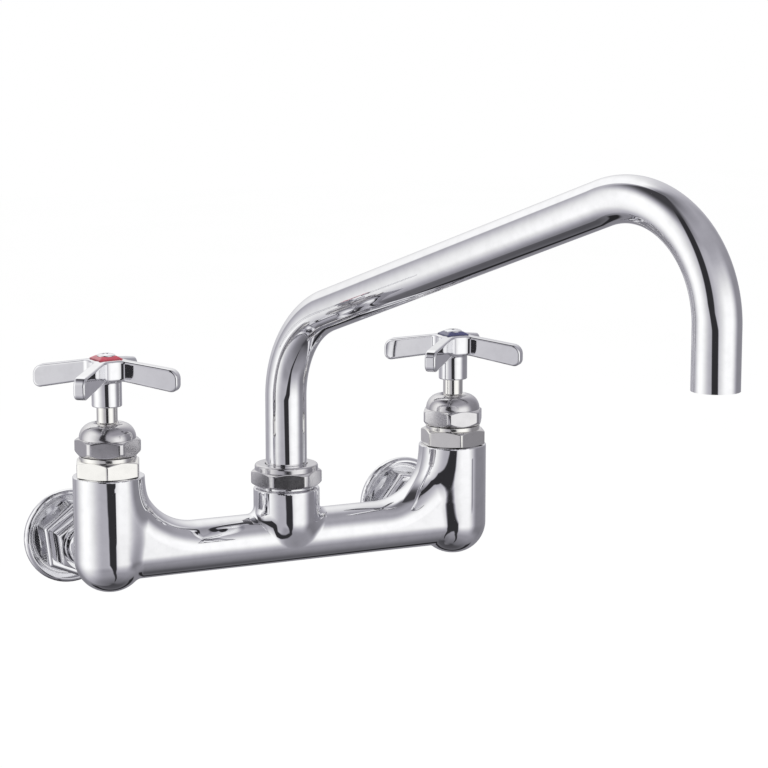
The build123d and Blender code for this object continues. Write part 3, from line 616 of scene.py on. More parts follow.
class NodeWork:
    """The nodes of one material or world."""

    def __init__(self, holder):
        holder.use_nodes = True
        self.holder = holder
        self.tree = holder.node_tree
        self.tree.nodes.clear()

    def node(self, kind, settings=None, sockets=None, output=0):
        """Adds a node, sets its settings and then its sockets to values or wires, and gives one output."""
        made = self.tree.nodes.new(kind)
        for key, value in (settings or {}).items():
            if key == "stops":
                ramp = made.color_ramp
                while len(ramp.elements) < len(value):
                    ramp.elements.new(1.0)
                for element, (place, rgb) in zip(ramp.elements, value):
                    element.position = place
                    element.color = (*rgb, 1)
            else:
                setattr(made, key, value)
        for key, value in (sockets or {}).items():
            socket = made.inputs[key]
            if isinstance(value, Wire):
                self.tree.links.new(value.socket, socket)
            else:
                socket.default_value = value
        return Wire(self, made.outputs[output])

    def mix_colour(self, share, first, second):
        """A colour between two, by a factor."""
        sockets = {0: share, 6: first, 7: second}
        return self.node("ShaderNodeMix", {"data_type": "RGBA"}, sockets, output=2)

    def noise(self, place, scale, detail=2.0, roughness=0.5):
        """Noise from 0 to 1 with that many cells in a metre."""
        sockets = {"Vector": place, "Scale": scale, "Detail": detail, "Roughness": roughness}
        return self.node("ShaderNodeTexNoise", None, sockets)

    def finish_with(self, shader, kind="ShaderNodeOutputMaterial"):
        """Wires a shader to the output and gives back the material or world."""
        self.tree.links.new(shader.socket, self.tree.nodes.new(kind).inputs["Surface"])
        return self.holder


def rgba(rgb, factor=1.0):
    """A colour with alpha, its light scaled by a factor."""
    return (*(channel * factor for channel in rgb), 1.0)


def plating(name, rgb, rough, wave=0.02, grain=0.0, lines=0.0, axis="Z"):
    """Plated metal: long soft waves in the polish, a faint film over the gloss, and grain where it is left.

    The normal comes from wave mm of 14 mm swells, grain mm of fine pitting and lines mm of turning marks
    along an axis; the roughness rises by a third in the film.
    """
    work = NodeWork(bpy.data.materials.new(name))
    place = work.node("ShaderNodeTexCoord", output=3)
    swell = work.noise(place, 70.0, 1.5)
    film = work.noise(place, 190.0, 4.0, 0.62)
    speck = work.noise(place, 2600.0, 3.0, 0.6)
    height = swell * wave + speck * grain
    if lines > 0:
        stretched = {"X": (1.0, 40.0, 40.0), "Y": (40.0, 1.0, 40.0), "Z": (1.0, 1.0, 60.0)}[axis]
        along = work.node("ShaderNodeVectorMath", {"operation": "MULTIPLY"}, {0: place, 1: stretched})
        height = height + work.noise(along, 60.0, 3.0) * lines
    normal = work.node("ShaderNodeBump", None, {"Strength": 1.0, "Distance": 0.001, "Height": height})
    tone = work.mix_colour(film.ramp(0.35, 0.75), rgba(rgb), rgba(rgb, 0.94))
    gloss = film.ramp(0.35, 0.8, rough, rough * 1.35) + speck * (rough * 0.2)
    shader = work.node(
        "ShaderNodeBsdfPrincipled",
        None,
        {"Base Color": tone, "Metallic": 1.0, "Roughness": gloss, "Normal": normal},
    )
    return work.finish_with(shader)


def coating(name, rgb, rough, depth, cells, coat=0.0, metal=0.0):
    """A paint, rubber or raw surface: patches in two depths of its colour, pores depth mm deep, and a coat.

    The roughness follows the pores, from 0.8 to 1.2 times rough.
    """
    work = NodeWork(bpy.data.materials.new(name))
    place = work.node("ShaderNodeTexCoord", output=3)
    patch = work.noise(place, cells / 5, 3.0, 0.6)
    pore = work.noise(place, cells, 4.0, 0.65)
    tone = work.mix_colour(patch.ramp(0.3, 0.7), rgba(rgb, 0.82), rgba(rgb, 1.08))
    normal = work.node("ShaderNodeBump", None, {"Strength": 1.0, "Distance": 0.001, "Height": pore * depth})
    shader = work.node(
        "ShaderNodeBsdfPrincipled",
        None,
        {
            "Base Color": tone,
            "Metallic": metal,
            "Roughness": pore.ramp(0.25, 0.75, rough * 0.8, min(rough * 1.2, 1.0)),
            "Coat Weight": coat,
            "Coat Roughness": 0.08,
            "Normal": normal,
        },
    )
    return work.finish_with(shader)


def finishes():
    """The finishes, made once and looked up by name."""
    look = bpy.context.scene.faucet_finish
    if "plated casting" not in bpy.data.materials:
        plating("plated casting", look.plate, 0.02, wave=0.04)
        plating("plated tube", look.plate, 0.02, wave=0.012)
        plating("plated handle", look.plate, 0.03, wave=0.02, grain=0.0002)
        plating("plated nut", look.turned, 0.13, wave=0.01, grain=0.0008, lines=0.0012)
        plating("plated bonnet", look.milled, 0.09, wave=0.006, grain=0.0006, lines=0.0012)
        plating("plated stem", look.milled, 0.06, wave=0.0, lines=0.001)
        plating("plated flange", look.plate, 0.07, wave=0.012, lines=0.0002, axis="Y")
        plating("screw steel", look.plate, 0.07, wave=0.0, grain=0.0006)
        coating("turned brass", look.brass, 0.28, 0.004, 2500.0, metal=1.0)
        coating("black rubber", look.rubber, 0.62, 0.012, 1800.0)
        coating("red fibre", look.fibre, 0.8, 0.03, 1500.0)
        coating("white packing", look.packing, 0.55, 0.03, 1200.0)
        coating("left index enamel", look.hot, 0.22, 0.004, 1500.0, coat=0.6)
        coating("right index enamel", look.cold, 0.22, 0.004, 1500.0, coat=0.6)
    return bpy.data.materials


def inlet_origin(side):
    """The point on the wall where an inlet's axis starts."""
    return (side * bpy.context.scene.faucet_body.column_x, 0.0, 0.0)


def swivel_origin():
    """The point on the spout's axis that is as high as the columns' rims."""
    body = bpy.context.scene.faucet_body
    return (0.0, -body.wall_gap, body.rim)


def valve_origin(side):
    """The point where a valve's axis meets its column's rim."""
    body = bpy.context.scene.faucet_body
    return (side * body.column_x, -body.wall_gap, body.rim)


# ---- operators ----


class FAUCET_OT_body(bpy.types.Operator):
    """Cast body: bridge, rising elbows, valve columns, centre boss and inlet bosses, blended and plated"""

    bl_idname = "faucet.body"
    bl_label = "Cast body"

    def execute(self, context):
        size = context.scene.faucet_body
        curve_x = size.column_x - size.column_radius + size.elbow_bury - size.elbow_radius
        curve_z = size.bridge_radius + size.elbow_radius - size.bridge_depth
        swell = size.elbow_throat - size.bridge_radius
        turns = np.linspace(0, size.elbow_turn, 41)
        mid_radius = size.bridge_radius + swell * smooth(turns / size.elbow_turn)
        mid_x = curve_x + (size.elbow_radius + mid_radius) * np.sin(turns)
        mid_z = curve_z - (size.elbow_radius + mid_radius) * np.cos(turns)

        def casting(x, y, z):
            """Distance to the casting, found piece by piece and joined by fillets.

            A column is a cylinder with its lower edge rounded: the length of what stands out of a core,
            less the round. An elbow is the upper half of a torus whose tube radius grows smoothly with its
            turn; below it upright walls as far apart go down to the bridge's axis, and half an ellipse as
            high as the bridge closes them. The boss is a cylinder on a half ball.
            """
            x, y, z = np.abs(x), y + size.wall_gap, z - size.rim
            across = x - size.column_x
            side = np.hypot(across, y) - size.column_radius + size.column_round
            foot = size.column_round - size.column_depth - z
            column = np.hypot(np.maximum(side, 0), np.maximum(foot, 0)) - size.column_round
            column = column + np.minimum(np.maximum(side, foot), 0)
            turn = np.clip(np.arctan2(x - curve_x, curve_z - z), 0, size.elbow_turn)
            thick = size.bridge_radius + swell * smooth(turn / size.elbow_turn)
            from_curve = np.hypot(np.maximum(x - curve_x, 0), curve_z - z)
            elbow = np.hypot(from_curve - size.elbow_radius - thick, y) - thick
            straight = np.hypot(z + size.bridge_depth, y) - size.bridge_radius
            level = np.interp(x, mid_x, mid_z)
            wide = np.interp(x, mid_x, mid_radius)
            under = np.hypot(z + size.bridge_depth, y * size.bridge_radius / wide) - size.bridge_radius
            under = under * wide / size.bridge_radius
            rising = np.where(z > level, elbow, np.where(z > -size.bridge_depth, np.abs(y) - wide, under))
            bridge = np.where(x > curve_x, np.maximum(rising, across), straight)
            bridge = np.minimum(bridge, np.maximum(straight, across))
            widened = np.clip((z + size.blend_depth) / size.blend_span, 0, 1)
            blend = size.crease_fillet + (size.casting_fillet - size.crease_fillet) * smooth(widened)
            form = round_union(column, bridge, blend)
            ball_z = -size.boss_depth - size.boss_straight
            boss = np.sqrt(x**2 + y**2 + np.minimum(z - ball_z, 0) ** 2) - size.boss_radius
            boss = round_cut(boss, z + size.boss_depth, size.face_round)
            blend = size.crease_fillet + (size.boss_fillet - size.crease_fillet) * widened
            form = round_union(form, boss, blend)
            inlet = np.hypot(across, z + size.rim) - size.inlet_radius
            inlet = round_cut(inlet, y - size.wall_gap + size.inlet_reach, size.face_round)
            form = round_union(form, np.maximum(inlet, -y), size.inlet_fillet)
            neck = np.abs(z + size.neck_middle) - size.neck_half
            neck = np.maximum(np.hypot(x, y) - size.neck_radius, neck)
            return round_cut(np.minimum(form, neck), z, size.rim_round)

        step = size.mesh_step
        margin = 3 * step
        reach_x = size.column_x + size.column_radius + margin
        low_y = -size.wall_gap - size.column_radius - margin
        axes = (
            np.arange(-reach_x, reach_x + step, step),
            np.arange(low_y, -size.inlet_reach + margin, step),
            np.arange(size.rim - size.column_depth - margin, size.rim + margin, step),
        )
        points, quads, normals = zero_surface(casting, axes)
        piece = add_mesh("cast_body_skin", (points, [quads]), normals=normals)
        dress(piece, "root", ["faucet_body"], finishes()["plated casting"])
        return {"FINISHED"}


class FAUCET_OT_spout_tube(bpy.types.Operator):
    """Spout tube: a circle carried along riser, knee, straight run, crown and outlet, with its inner wall"""

    bl_idname = "faucet.spout_tube"
    bl_label = "Spout tube"

    def execute(self, context):
        size = context.scene.faucet_spout
        knee_turn, crown_turn = math.pi / 2 - size.rise, math.pi / 2 + size.rise
        knee_run = size.knee_radius * math.tan(knee_turn / 2)
        crown_run = size.crown_radius * math.tan(crown_turn / 2)
        crown_height = size.knee_height + size.reach * math.tan(size.rise)
        stretches = (
            (size.knee_height - knee_run - size.tube_start, 0.0, 24, 0.0),
            (size.knee_radius * knee_turn, knee_turn, 72, size.knee_squeeze),
            (size.reach / math.cos(size.rise) - knee_run - crown_run, 0.0, 60, 0.0),
            (size.crown_radius * crown_turn, crown_turn, 96, size.crown_squeeze),
            (crown_height - crown_run - size.outlet, 0.0, 20, 0.0),
        )
        centre, heading, squeeze = bent_line((0.0, size.tube_start), math.pi / 2, stretches)

        lip = 0.35 * MM
        outer, inner = size.tube_radius, size.tube_radius - size.tube_wall
        quarter = np.linspace(0, np.pi / 2, 5)
        last = len(centre) - 1
        sections = (
            # place on the line, radius, and how far the section is moved along the line
            (0, outer - lip + lip * np.sin(quarter), lip - lip * np.cos(quarter)),
            (np.arange(last + 1), outer, 0.0),
            (last, outer - lip + lip * np.cos(quarter), 0.0),
            (last, inner + lip - lip * np.sin(quarter), 0.0),
            (np.arange(last, -1, -3), inner, 0.0),
        )
        sections = [np.broadcast_arrays(*section) for section in sections]
        index, radius, moved = (np.concatenate(part) for part in zip(*sections))

        theta = np.linspace(0, 2 * math.pi, 128, endpoint=False)
        out = np.array([math.sin(size.swing), -math.cos(size.swing), 0.0])
        aside = np.array([math.cos(size.swing), math.sin(size.swing), 0.0])
        up = np.array([0.0, 0.0, 1.0])
        cos_h, sin_h = np.cos(heading)[index, None], np.sin(heading)[index, None]
        along = cos_h * out + sin_h * up
        normal = cos_h * up - sin_h * out
        middle = np.array(swivel_origin()) + centre[index, :1] * out + centre[index, 1:] * up
        middle = middle + moved[:, None] * along
        flat = squeeze[index]
        tall = (radius * (1 - flat))[:, None, None] * np.cos(theta)[None, :, None] * normal[:, None, :]
        wide = (radius * (1 + flat / 2))[:, None, None] * np.sin(theta)[None, :, None] * aside
        points = (middle[:, None, :] + (tall + wide)).reshape(-1, 3)
        piece = add_mesh("spout_tube_skin", (points, [grid_faces(len(index), len(theta), True)]))
        dress(piece, "spout", ["spout_tube"], finishes()["plated tube"])
        return {"FINISHED"}


class FAUCET_OT_spout_nut(bpy.types.Operator):
    """Spout nut: hexagon with flattened corners and a round collar on top"""

    bl_idname = "faucet.spout_nut"
    bl_label = "Spout nut"

    def execute(self, context):
        size = context.scene.faucet_spout
        origin = swivel_origin()
        bore = size.tube_radius + 0.35 * MM
        heights = (size.nut_start, size.nut_top)
        bevels = (size.nut_bevel, size.nut_bevel)
        ease = (0.2, 0.2, 0.5, 0.5, 0.2, 0.2)
        blank = hexagon_shell(
            size.nut_across, heights, bevels, bore, ease, origin, size.nut_turn, corner=size.nut_corner
        )
        low = size.nut_top - 0.6 * MM
        ease = (0.1, 0.1, 1.5, 0.5)
        ring = band_shell(bore, size.collar_radius, low, size.collar_top, ease, origin, steps=8)
        piece = add_mesh("spout_nut_skin", blank, ring)
        dress(piece, "root", ["spout_nut"], finishes()["plated nut"])
        return {"FINISHED"}


class FAUCET_OT_bonnets(bpy.types.Operator):
    """Bonnets: the lower hexagon on each column, with its round shoulder"""

    bl_idname = "faucet.bonnets"
    bl_label = "Bonnets"

    def execute(self, context):
        size = context.scene.faucet_valve
        bore = size.stem_radius + 0.5 * MM
        low = size.bonnet_top - 0.5 * MM
        heights = (0.0, size.bonnet_top)
        bevels = (0.6 * MM, 1.3 * MM)
        ease = (0.1, 0.1, 0.3, 0.4, 0.3, 0.1)
        shoulder_ease = (0.1, 0.1, 0.4, 0.1)
        for (name, side), turn in zip(SIDES, (size.hot_bonnet_turn, size.cold_bonnet_turn)):
            origin = valve_origin(side)
            blank = hexagon_shell(
                size.bonnet_across, heights, bevels, bore, ease, origin, turn, corner=0.5 * MM
            )
            ring = band_shell(bore, size.shoulder_radius, low, size.shoulder_top, shoulder_ease, origin)
            piece = add_mesh(f"{name}_bonnet_skin", blank, ring)
            dress(piece, "root", [f"{name}_bonnet"], finishes()["plated bonnet"])
        return {"FINISHED"}


class FAUCET_OT_packing_nuts(bpy.types.Operator):
    """Packing nuts: the upper hexagon with its dome"""

    bl_idname = "faucet.packing_nuts"
    bl_label = "Packing nuts"

    def execute(self, context):
        size = context.scene.faucet_valve
        hole = size.stem_radius + 0.15 * MM
        heights = (size.nut_start, size.nut_top)
        bevels = (size.nut_bevel, size.nut_top_bevel)
        ease = (0.2, 0.2, 0.5, 0.5, 0.2, 0.2)
        bend = np.linspace(0, math.pi / 2, 25)
        radii = size.dome_lip + (size.dome_radius - size.dome_lip) * np.cos(bend)
        dome = size.nut_top + (size.dome_top - size.nut_top) * np.sin(bend)
        dip = size.dome_top - (size.dome_lip - hole)
        foot = size.nut_top - MM
        ends = [(hole, dip), (hole, foot), (size.dome_radius, foot)]
        rows = np.concatenate([np.array(ends), np.stack([radii, dome], axis=-1)])[:, :, None]
        for (name, side), turn in zip(SIDES, (size.hot_nut_turn, size.cold_nut_turn)):
            origin = valve_origin(side)
            blank = hexagon_shell(
                size.nut_across, heights, bevels, hole, ease, origin, turn, corner=size.nut_corner
            )
            piece = add_mesh(f"{name}_packing_nut_skin", blank, ring_shell(rows, origin))
            dress(piece, "root", [f"{name}_packing_nut"], finishes()["plated nut"])
        return {"FINISHED"}


class FAUCET_OT_stems(bpy.types.Operator):
    """Stems: a thicker foot and the plain stem, up to the shoulder under the handle"""

    bl_idname = "faucet.stems"
    bl_label = "Stems"

    def execute(self, context):
        size = context.scene.faucet_valve
        for name, side in SIDES:
            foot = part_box(f"{name}_spindle")[0][2] - context.scene.faucet_body.rim
            tip, thick = 0.4 * MM, size.stem_radius + 0.2 * MM
            rows = [
                (tip, foot),
                (thick, foot),
                (thick, size.stem_start),
                (size.stem_radius, size.stem_start + 0.6 * MM),
                (size.stem_radius, size.stem_top),
                (tip, size.stem_top),
            ]
            shape = solid_shell(eased_open(rows, 0.3 * MM), valve_origin(side))
            piece = add_mesh(f"{name}_stem_skin", shape)
            dress(piece, f"{name}_stem", [f"{name}_spindle"], finishes()["plated stem"])
        return {"FINISHED"}


class FAUCET_OT_handles(bpy.types.Operator):
    """Four-arm handles: tall flat blades on a hub, over a round sleeve"""

    bl_idname = "faucet.handles"
    bl_label = "Handles"

    def execute(self, context):
        size = context.scene.faucet_handle
        for (name, side), turn in zip(SIDES, (size.hot_turn, size.cold_turn)):
            centre = valve_origin(side)
            cos_t, sin_t = math.cos(turn), math.sin(turn)
            under = size.hub_top - size.arm_root

            def handle(x, y, z):
                """Distance to the handle.

                Folding the plan over both pairs of arms gives one arm: a strip joined to the hub's circle
                by a fillet, cut by a side view whose edges fall away from the hub. The sleeve joins below.
                """
                x, y, z = x - centre[0], y - centre[1], z - centre[2]
                along, beside = np.abs(cos_t * x + sin_t * y), np.abs(cos_t * y - sin_t * x)
                radius = np.hypot(x, y)
                out, off = np.maximum(along, beside), np.minimum(along, beside)
                plan = round_union(off - size.arm_thickness / 2, radius - size.hub_radius, size.crotch)
                past = np.maximum(out - size.hub_radius, 0)
                top = (z - size.hub_top + past * math.tan(size.top_droop)) * math.cos(size.top_droop)
                foot = (under - z - past * math.tan(size.under_droop)) * math.cos(size.under_droop)
                profile = round_cut(np.maximum(top, foot), out - size.arm_reach, size.tip_round)
                cross = round_cut(plan, profile, size.edge_round)
                sleeve = np.maximum(radius - size.sleeve_radius, z - size.hub_top + size.arm_root / 2)
                sleeve = round_cut(sleeve, size.sleeve_start - z, size.sleeve_round)
                return round_union(cross, sleeve, size.sleeve_joint)

            # the arms lie near the diagonals, so their ends are well inside a box this wide
            half = size.arm_reach * 0.98
            step = size.mesh_step
            reach = np.arange(-half, half + step, step)
            heights = np.arange(size.sleeve_start - 3 * step, size.hub_top + 3 * step, step)
            axes = (centre[0] + reach, centre[1] + reach, centre[2] + heights)
            points, quads, normals = zero_surface(handle, axes)
            piece = add_mesh(f"{name}_handle_skin", (points, [quads]), normals=normals)
            dress(piece, f"{name}_stem", [f"{name}_handle"], finishes()["plated handle"])
        return {"FINISHED"}


class FAUCET_OT_index_plates(bpy.types.Operator):
    """Index plates: the coloured low pyramid under each handle screw, its corners along the arms"""

    bl_idname = "faucet.index_plates"
    bl_label = "Index plates"

    def execute(self, context):
        size = context.scene.faucet_handle
        for (name, side), turn in zip(SIDES, (size.hot_turn, size.cold_turn)):
            theta = corner_angles(turn, 4)
            rim, seat = (
                np.minimum(flats_radius(theta, reach * math.sqrt(2), turn, 4, power=40), reach - 0.3 * MM)
                for reach in (size.index_reach, size.index_seat)
            )
            low, top = size.hub_top - 0.15 * MM, size.hub_top + size.index_thickness
            hole = 2 * MM
            rows = [(hole, low), (rim, low), (rim, size.hub_top + size.index_edge), (seat, top), (hole, top)]
            rows = eased(rows, np.array([0.1, 0.1, 0.2, 0.5, 0.1]) * MM)
            piece = add_mesh(f"{name}_index_plate", ring_shell(rows, valve_origin(side), theta=theta))
            material = finishes()["left index enamel" if name == "hot" else "right index enamel"]
            dress(piece, f"{name}_stem", [f"{name}_index_ring"], material)
        return {"FINISHED"}


class FAUCET_OT_handle_screws(bpy.types.Operator):
    """Handle screws: a domed head with a cross recess

    The head stands screw_head * sqrt(1 - share squared) over its edge. The recess is as deep as the product
    of two slopes that rise from 0 to 1 inwards from a slot's end and from its side.
    """

    bl_idname = "faucet.handle_screws"
    bl_label = "Handle screws"

    def execute(self, context):
        size = context.scene.faucet_handle
        edge, seat = size.screw_radius, size.hub_top + size.index_thickness
        end_slope, side_slope = 0.5 * MM, 0.25 * MM
        theta = np.linspace(0, 2 * math.pi, 240, endpoint=False)
        share = np.linspace(1, 0.01, 60)[:, None]
        radius = edge * share * np.ones_like(theta)
        dome = size.screw_head * np.sqrt(np.maximum(1 - share**2, 0))
        skirt = np.array([(0.3 * MM, seat - MM), (edge * 0.9, seat - MM), (edge, seat - 0.2 * MM)])
        skirt = np.broadcast_to(skirt[:, :, None], (3, 2, len(theta)))
        for (name, side), turn in zip(SIDES, (size.hot_screw_turn, size.cold_screw_turn)):
            across, along = np.abs(radius * np.cos(theta - turn)), np.abs(radius * np.sin(theta - turn))
            from_end = np.clip((size.slot_reach - np.maximum(across, along)) / end_slope, 0, 1)
            from_side = np.clip((size.slot_half - np.minimum(across, along)) / side_slope, 0, 1)
            height = seat + dome - size.slot_depth * (from_end * from_side)
            rows = np.concatenate([skirt, np.stack([radius, height], axis=1)])
            shape = solid_shell(rows, valve_origin(side), theta=theta)
            piece = add_mesh(f"{name}_handle_screw_skin", shape)
            dress(piece, f"{name}_stem", [f"{name}_handle_screw"], finishes()["screw steel"])
        return {"FINISHED"}


class FAUCET_OT_wall_flanges(bpy.types.Operator):
    """Wall flanges: a rolled rim with its dish, the big hexagon and the threaded nipple"""

    bl_idname = "faucet.wall_flanges"
    bl_label = "Wall flanges"

    def execute(self, context):
        size = context.scene.faucet_wall
        bore = size.thread_bore
        around = np.linspace(-math.pi / 2, math.pi / 2, 17)
        bead = np.stack([
            size.flange_radius - size.bead + size.bead * np.cos(around),
            size.bead + size.bead * np.sin(around),
        ], axis=-1)
        dish = [
            (size.groove_radius, size.groove_floor),
            (size.groove_radius - 0.9 * MM, size.groove_floor),
            (size.dish_radius, size.hex_start),
            (size.dish_radius - 3 * MM, size.hex_start),
            (bore, size.hex_start),
        ]
        plate_ease = np.r_[0.2, np.full(len(bead), 0.0001), 0.3, 0.3, 1.6, 0.2, 0.2] * MM
        plate_rows = eased(np.concatenate([[(bore, 0.0)], bead, dish]), plate_ease)
        bend = np.linspace(0, math.pi / 2, 9)[:, None]
        buried = size.hex_start - 3 * MM
        for (name, side), turn in zip(SIDES, (size.hot_hex_turn, size.cold_hex_turn)):
            origin = inlet_origin(side)
            plate = ring_shell(plate_rows, origin, OUTWARD)
            theta = corner_angles(turn)
            radius = flats_radius(theta, size.hex_across, turn, power=70)
            across = radius * (1 - size.hex_round * (1 - np.cos(bend)) / (size.hex_across / 2))
            reach = size.hex_reach - size.hex_round * (1 - np.sin(bend))
            rows = [(bore, buried), (radius, buried), *zip(across, reach), (bore, size.hex_reach)]
            block = ring_shell(np.stack(spread(rows)), origin, OUTWARD, theta)
            tube = band_shell(
                bore - MM, size.nipple_radius, size.hex_start, size.nipple_reach, (0.3,) * 4, origin, OUTWARD
            )
            piece = add_mesh(f"{name}_wall_flange_skin", plate, block, tube)
            dress(piece, "root", [f"{name}_wall_flange"], finishes()["plated flange"])
        return {"FINISHED"}


class FAUCET_OT_coupling_nuts(bpy.types.Operator):
    """Coupling nuts: the hexagons in front of the wall flanges"""

    bl_idname = "faucet.coupling_nuts"
    bl_label = "Coupling nuts"

    def execute(self, context):
        size = context.scene.faucet_wall
        hole = size.tail_radius + 0.2 * MM
        heights = (size.hex_reach, size.nut_reach)
        bevels = (0.3 * MM, size.nut_chamfer)
        ease = (0.1, 0.1, 0.2, 0.5, 0.4, 0.3)
        for (name, side), turn in zip(SIDES, (size.hot_hex_turn, size.cold_hex_turn)):
            nut = hexagon_shell(
                size.nut_across, heights, bevels, hole, ease, inlet_origin(side), turn, OUTWARD, power=110
            )
            piece = add_mesh(f"{name}_coupling_nut_skin", nut)
            dress(piece, "root", [f"{name}_coupling_nut"], finishes()["plated flange"])
        return {"FINISHED"}


class FAUCET_OT_tailpieces(bpy.types.Operator):
    """Tailpieces: tubes with a collar at the wall end, from the flanges into the body"""

    bl_idname = "faucet.tailpieces"
    bl_label = "Tailpieces"

    def execute(self, context):
        size = context.scene.faucet_wall
        for name, side in SIDES:
            low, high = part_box(f"{name}_inlet_tailpiece")
            near, far = -high[1], -low[1]
            step = near + size.collar_thickness
            pipe = [
                (size.tail_bore, near),
                (size.collar_radius, near),
                (size.collar_radius, step),
                (size.tail_radius, step),
                (size.tail_radius, far),
                (size.tail_bore, far),
            ]
            shape = ring_shell(eased(pipe, np.full(6, 0.2 * MM)), inlet_origin(side), OUTWARD)
            piece = add_mesh(f"{name}_tailpiece_skin", shape)
            dress(piece, "root", [f"{name}_inlet_tailpiece"], finishes()["plated stem"])
        return {"FINISHED"}


INNER_FINISHES = {
    "disc_holder": "turned brass",
    "washer_screw": "turned brass",
    "valve_seat": "turned brass",
    "ferrule": "turned brass",
    "seat_washer": "black rubber",
    "o_rings": "black rubber",
    "coupling_washer": "black rubber",
    "bonnet_gasket": "red fibre",
    "packing_washer": "turned brass",
    "stem_packing": "white packing",
    "slip_ring": "white packing",
}


class FAUCET_OT_inner_parts(bpy.types.Operator):
    """Inner parts: brass, rubber, fibre and packing finishes on the nodes that stay as they are"""

    bl_idname = "faucet.inner_parts"
    bl_label = "Inner parts"

    def execute(self, context):
        for name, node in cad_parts.items():
            for ending, finish in INNER_FINISHES.items():
                if name.endswith(ending):
                    node.data.materials.clear()
                    node.data.materials.append(finishes()[finish])
        return {"FINISHED"}


# The studio as the metal mirrors it. Most of these numbers come from a least-squares fit of the reflections to
# the photograph, rounded, and the others were set one by one.
# Rows of (elevation in degrees, value): tones of the surround and of the floor's glow, then the bearing of the
# dark stand's middle and its half width.
SURROUND = (
    (-90, 0.056), (-80, 0.067), (-68, 0.08), (-55, 0.14), (-42, 0.21), (-28, 0.17), (-12, 0.23), (0, 0.25),
    (14, 0.26), (28, 0.30), (42, 0.345), (56, 0.37), (70, 0.29), (82, 0.17), (90, 0.16),
)
FLOOR_GLOW = ((-82, 0.14), (-68, 0.19), (-54, 0.275), (-40, 0.30), (-28, 0.20))
STAND_MIDDLE = ((-80, -5), (-65, -2), (-45, 8), (-30, 9.5), (-15, 14), (-5, 30), (6, 46), (60, 46))
STAND_HALF_WIDTH = ((-80, 5), (-40, 6), (-25, 9.5), (-8, 14), (6, 14), (60, 10.5))
# Windows in degrees: where a share starts and ends its rise, then its fall.
GLOW_BEARINGS = (-127, -52, 138, 145)
GLOW_HEIGHTS = (-90, -80, -35, -12)
STAND_HEIGHTS = (-86, -74, 60, 72)
# The stand's tone, and half the width of its soft edge in degrees.
STAND_LEVEL = 0.03
STAND_EDGE = 2.5
PANELS = (
    # level, window of bearings, window of elevations
    (0.42, (-5, 19, 100, 140), (-40, -20, 44, 50)),
    (1.55, (46, 127, 65, 169), (-64, -16, 44, 90)),
    (1.00, (-70, -33, -16, 35), (-49, -7, 9, 48)),
    (0.97, (151, 158, 188, 264), (-31, 40, 70, 86)),
    (0.02, (150, 158, 250, 262), (-58, -55, -48, -44)),
    (0.22, (150, 158, 250, 262), (-45, -42, -24, -16)),
    (0.05, (8, 44, 140, 150), (32, 70, 87, 108)),
)
COOL_TINT = (0.985, 0.965, 1.07)

# Places and sizes on the stage, in metres, and the lens and sensor in millimetres.
DOME_CENTRE = (0.0, -0.15, 0.05)
FLOOR_HALF = 6.0
FLOOR_CELLS = 24
LAMP_PLACE = (0.5, -0.7, 1.5)
LAMP_SIZE = (1.6, 1.2)
CAMERA_PLACE = (-0.5184, -1.2379, 0.2971)
CAMERA_RIGHT = (0.89692, -0.44219, 0.0)
CAMERA_UP = (0.07192, 0.14588, 0.98669)
CAMERA_BACK = (-0.43631, -0.88498, 0.16264)
CAMERA_LENS = 113.07
CAMERA_SENSOR = 36.0


def by_height(work, height, table, low=0.0, high=1.0):
    """A value that follows a table of (elevation in degrees, value), straight between its rows.

    The node's ramp runs from 0 at -90 degrees to 1 at 90, and its tones from 0 at low to 1 at high.
    """
    stops = [(row / 180 + 0.5, [(value - low) / (high - low)] * 3) for row, value in table]
    tone = work.node("ShaderNodeValToRGB", {"stops": stops}, {"Fac": height * (1 / 180) + 0.5})
    return tone * (high - low) + low


def window(value, edges):
    """1 inside four edges and 0 outside: smooth steps up over the first two and down over the last two."""
    return value.ramp(edges[0], edges[1]) * value.ramp(edges[2], edges[3], 1.0, 0.0)


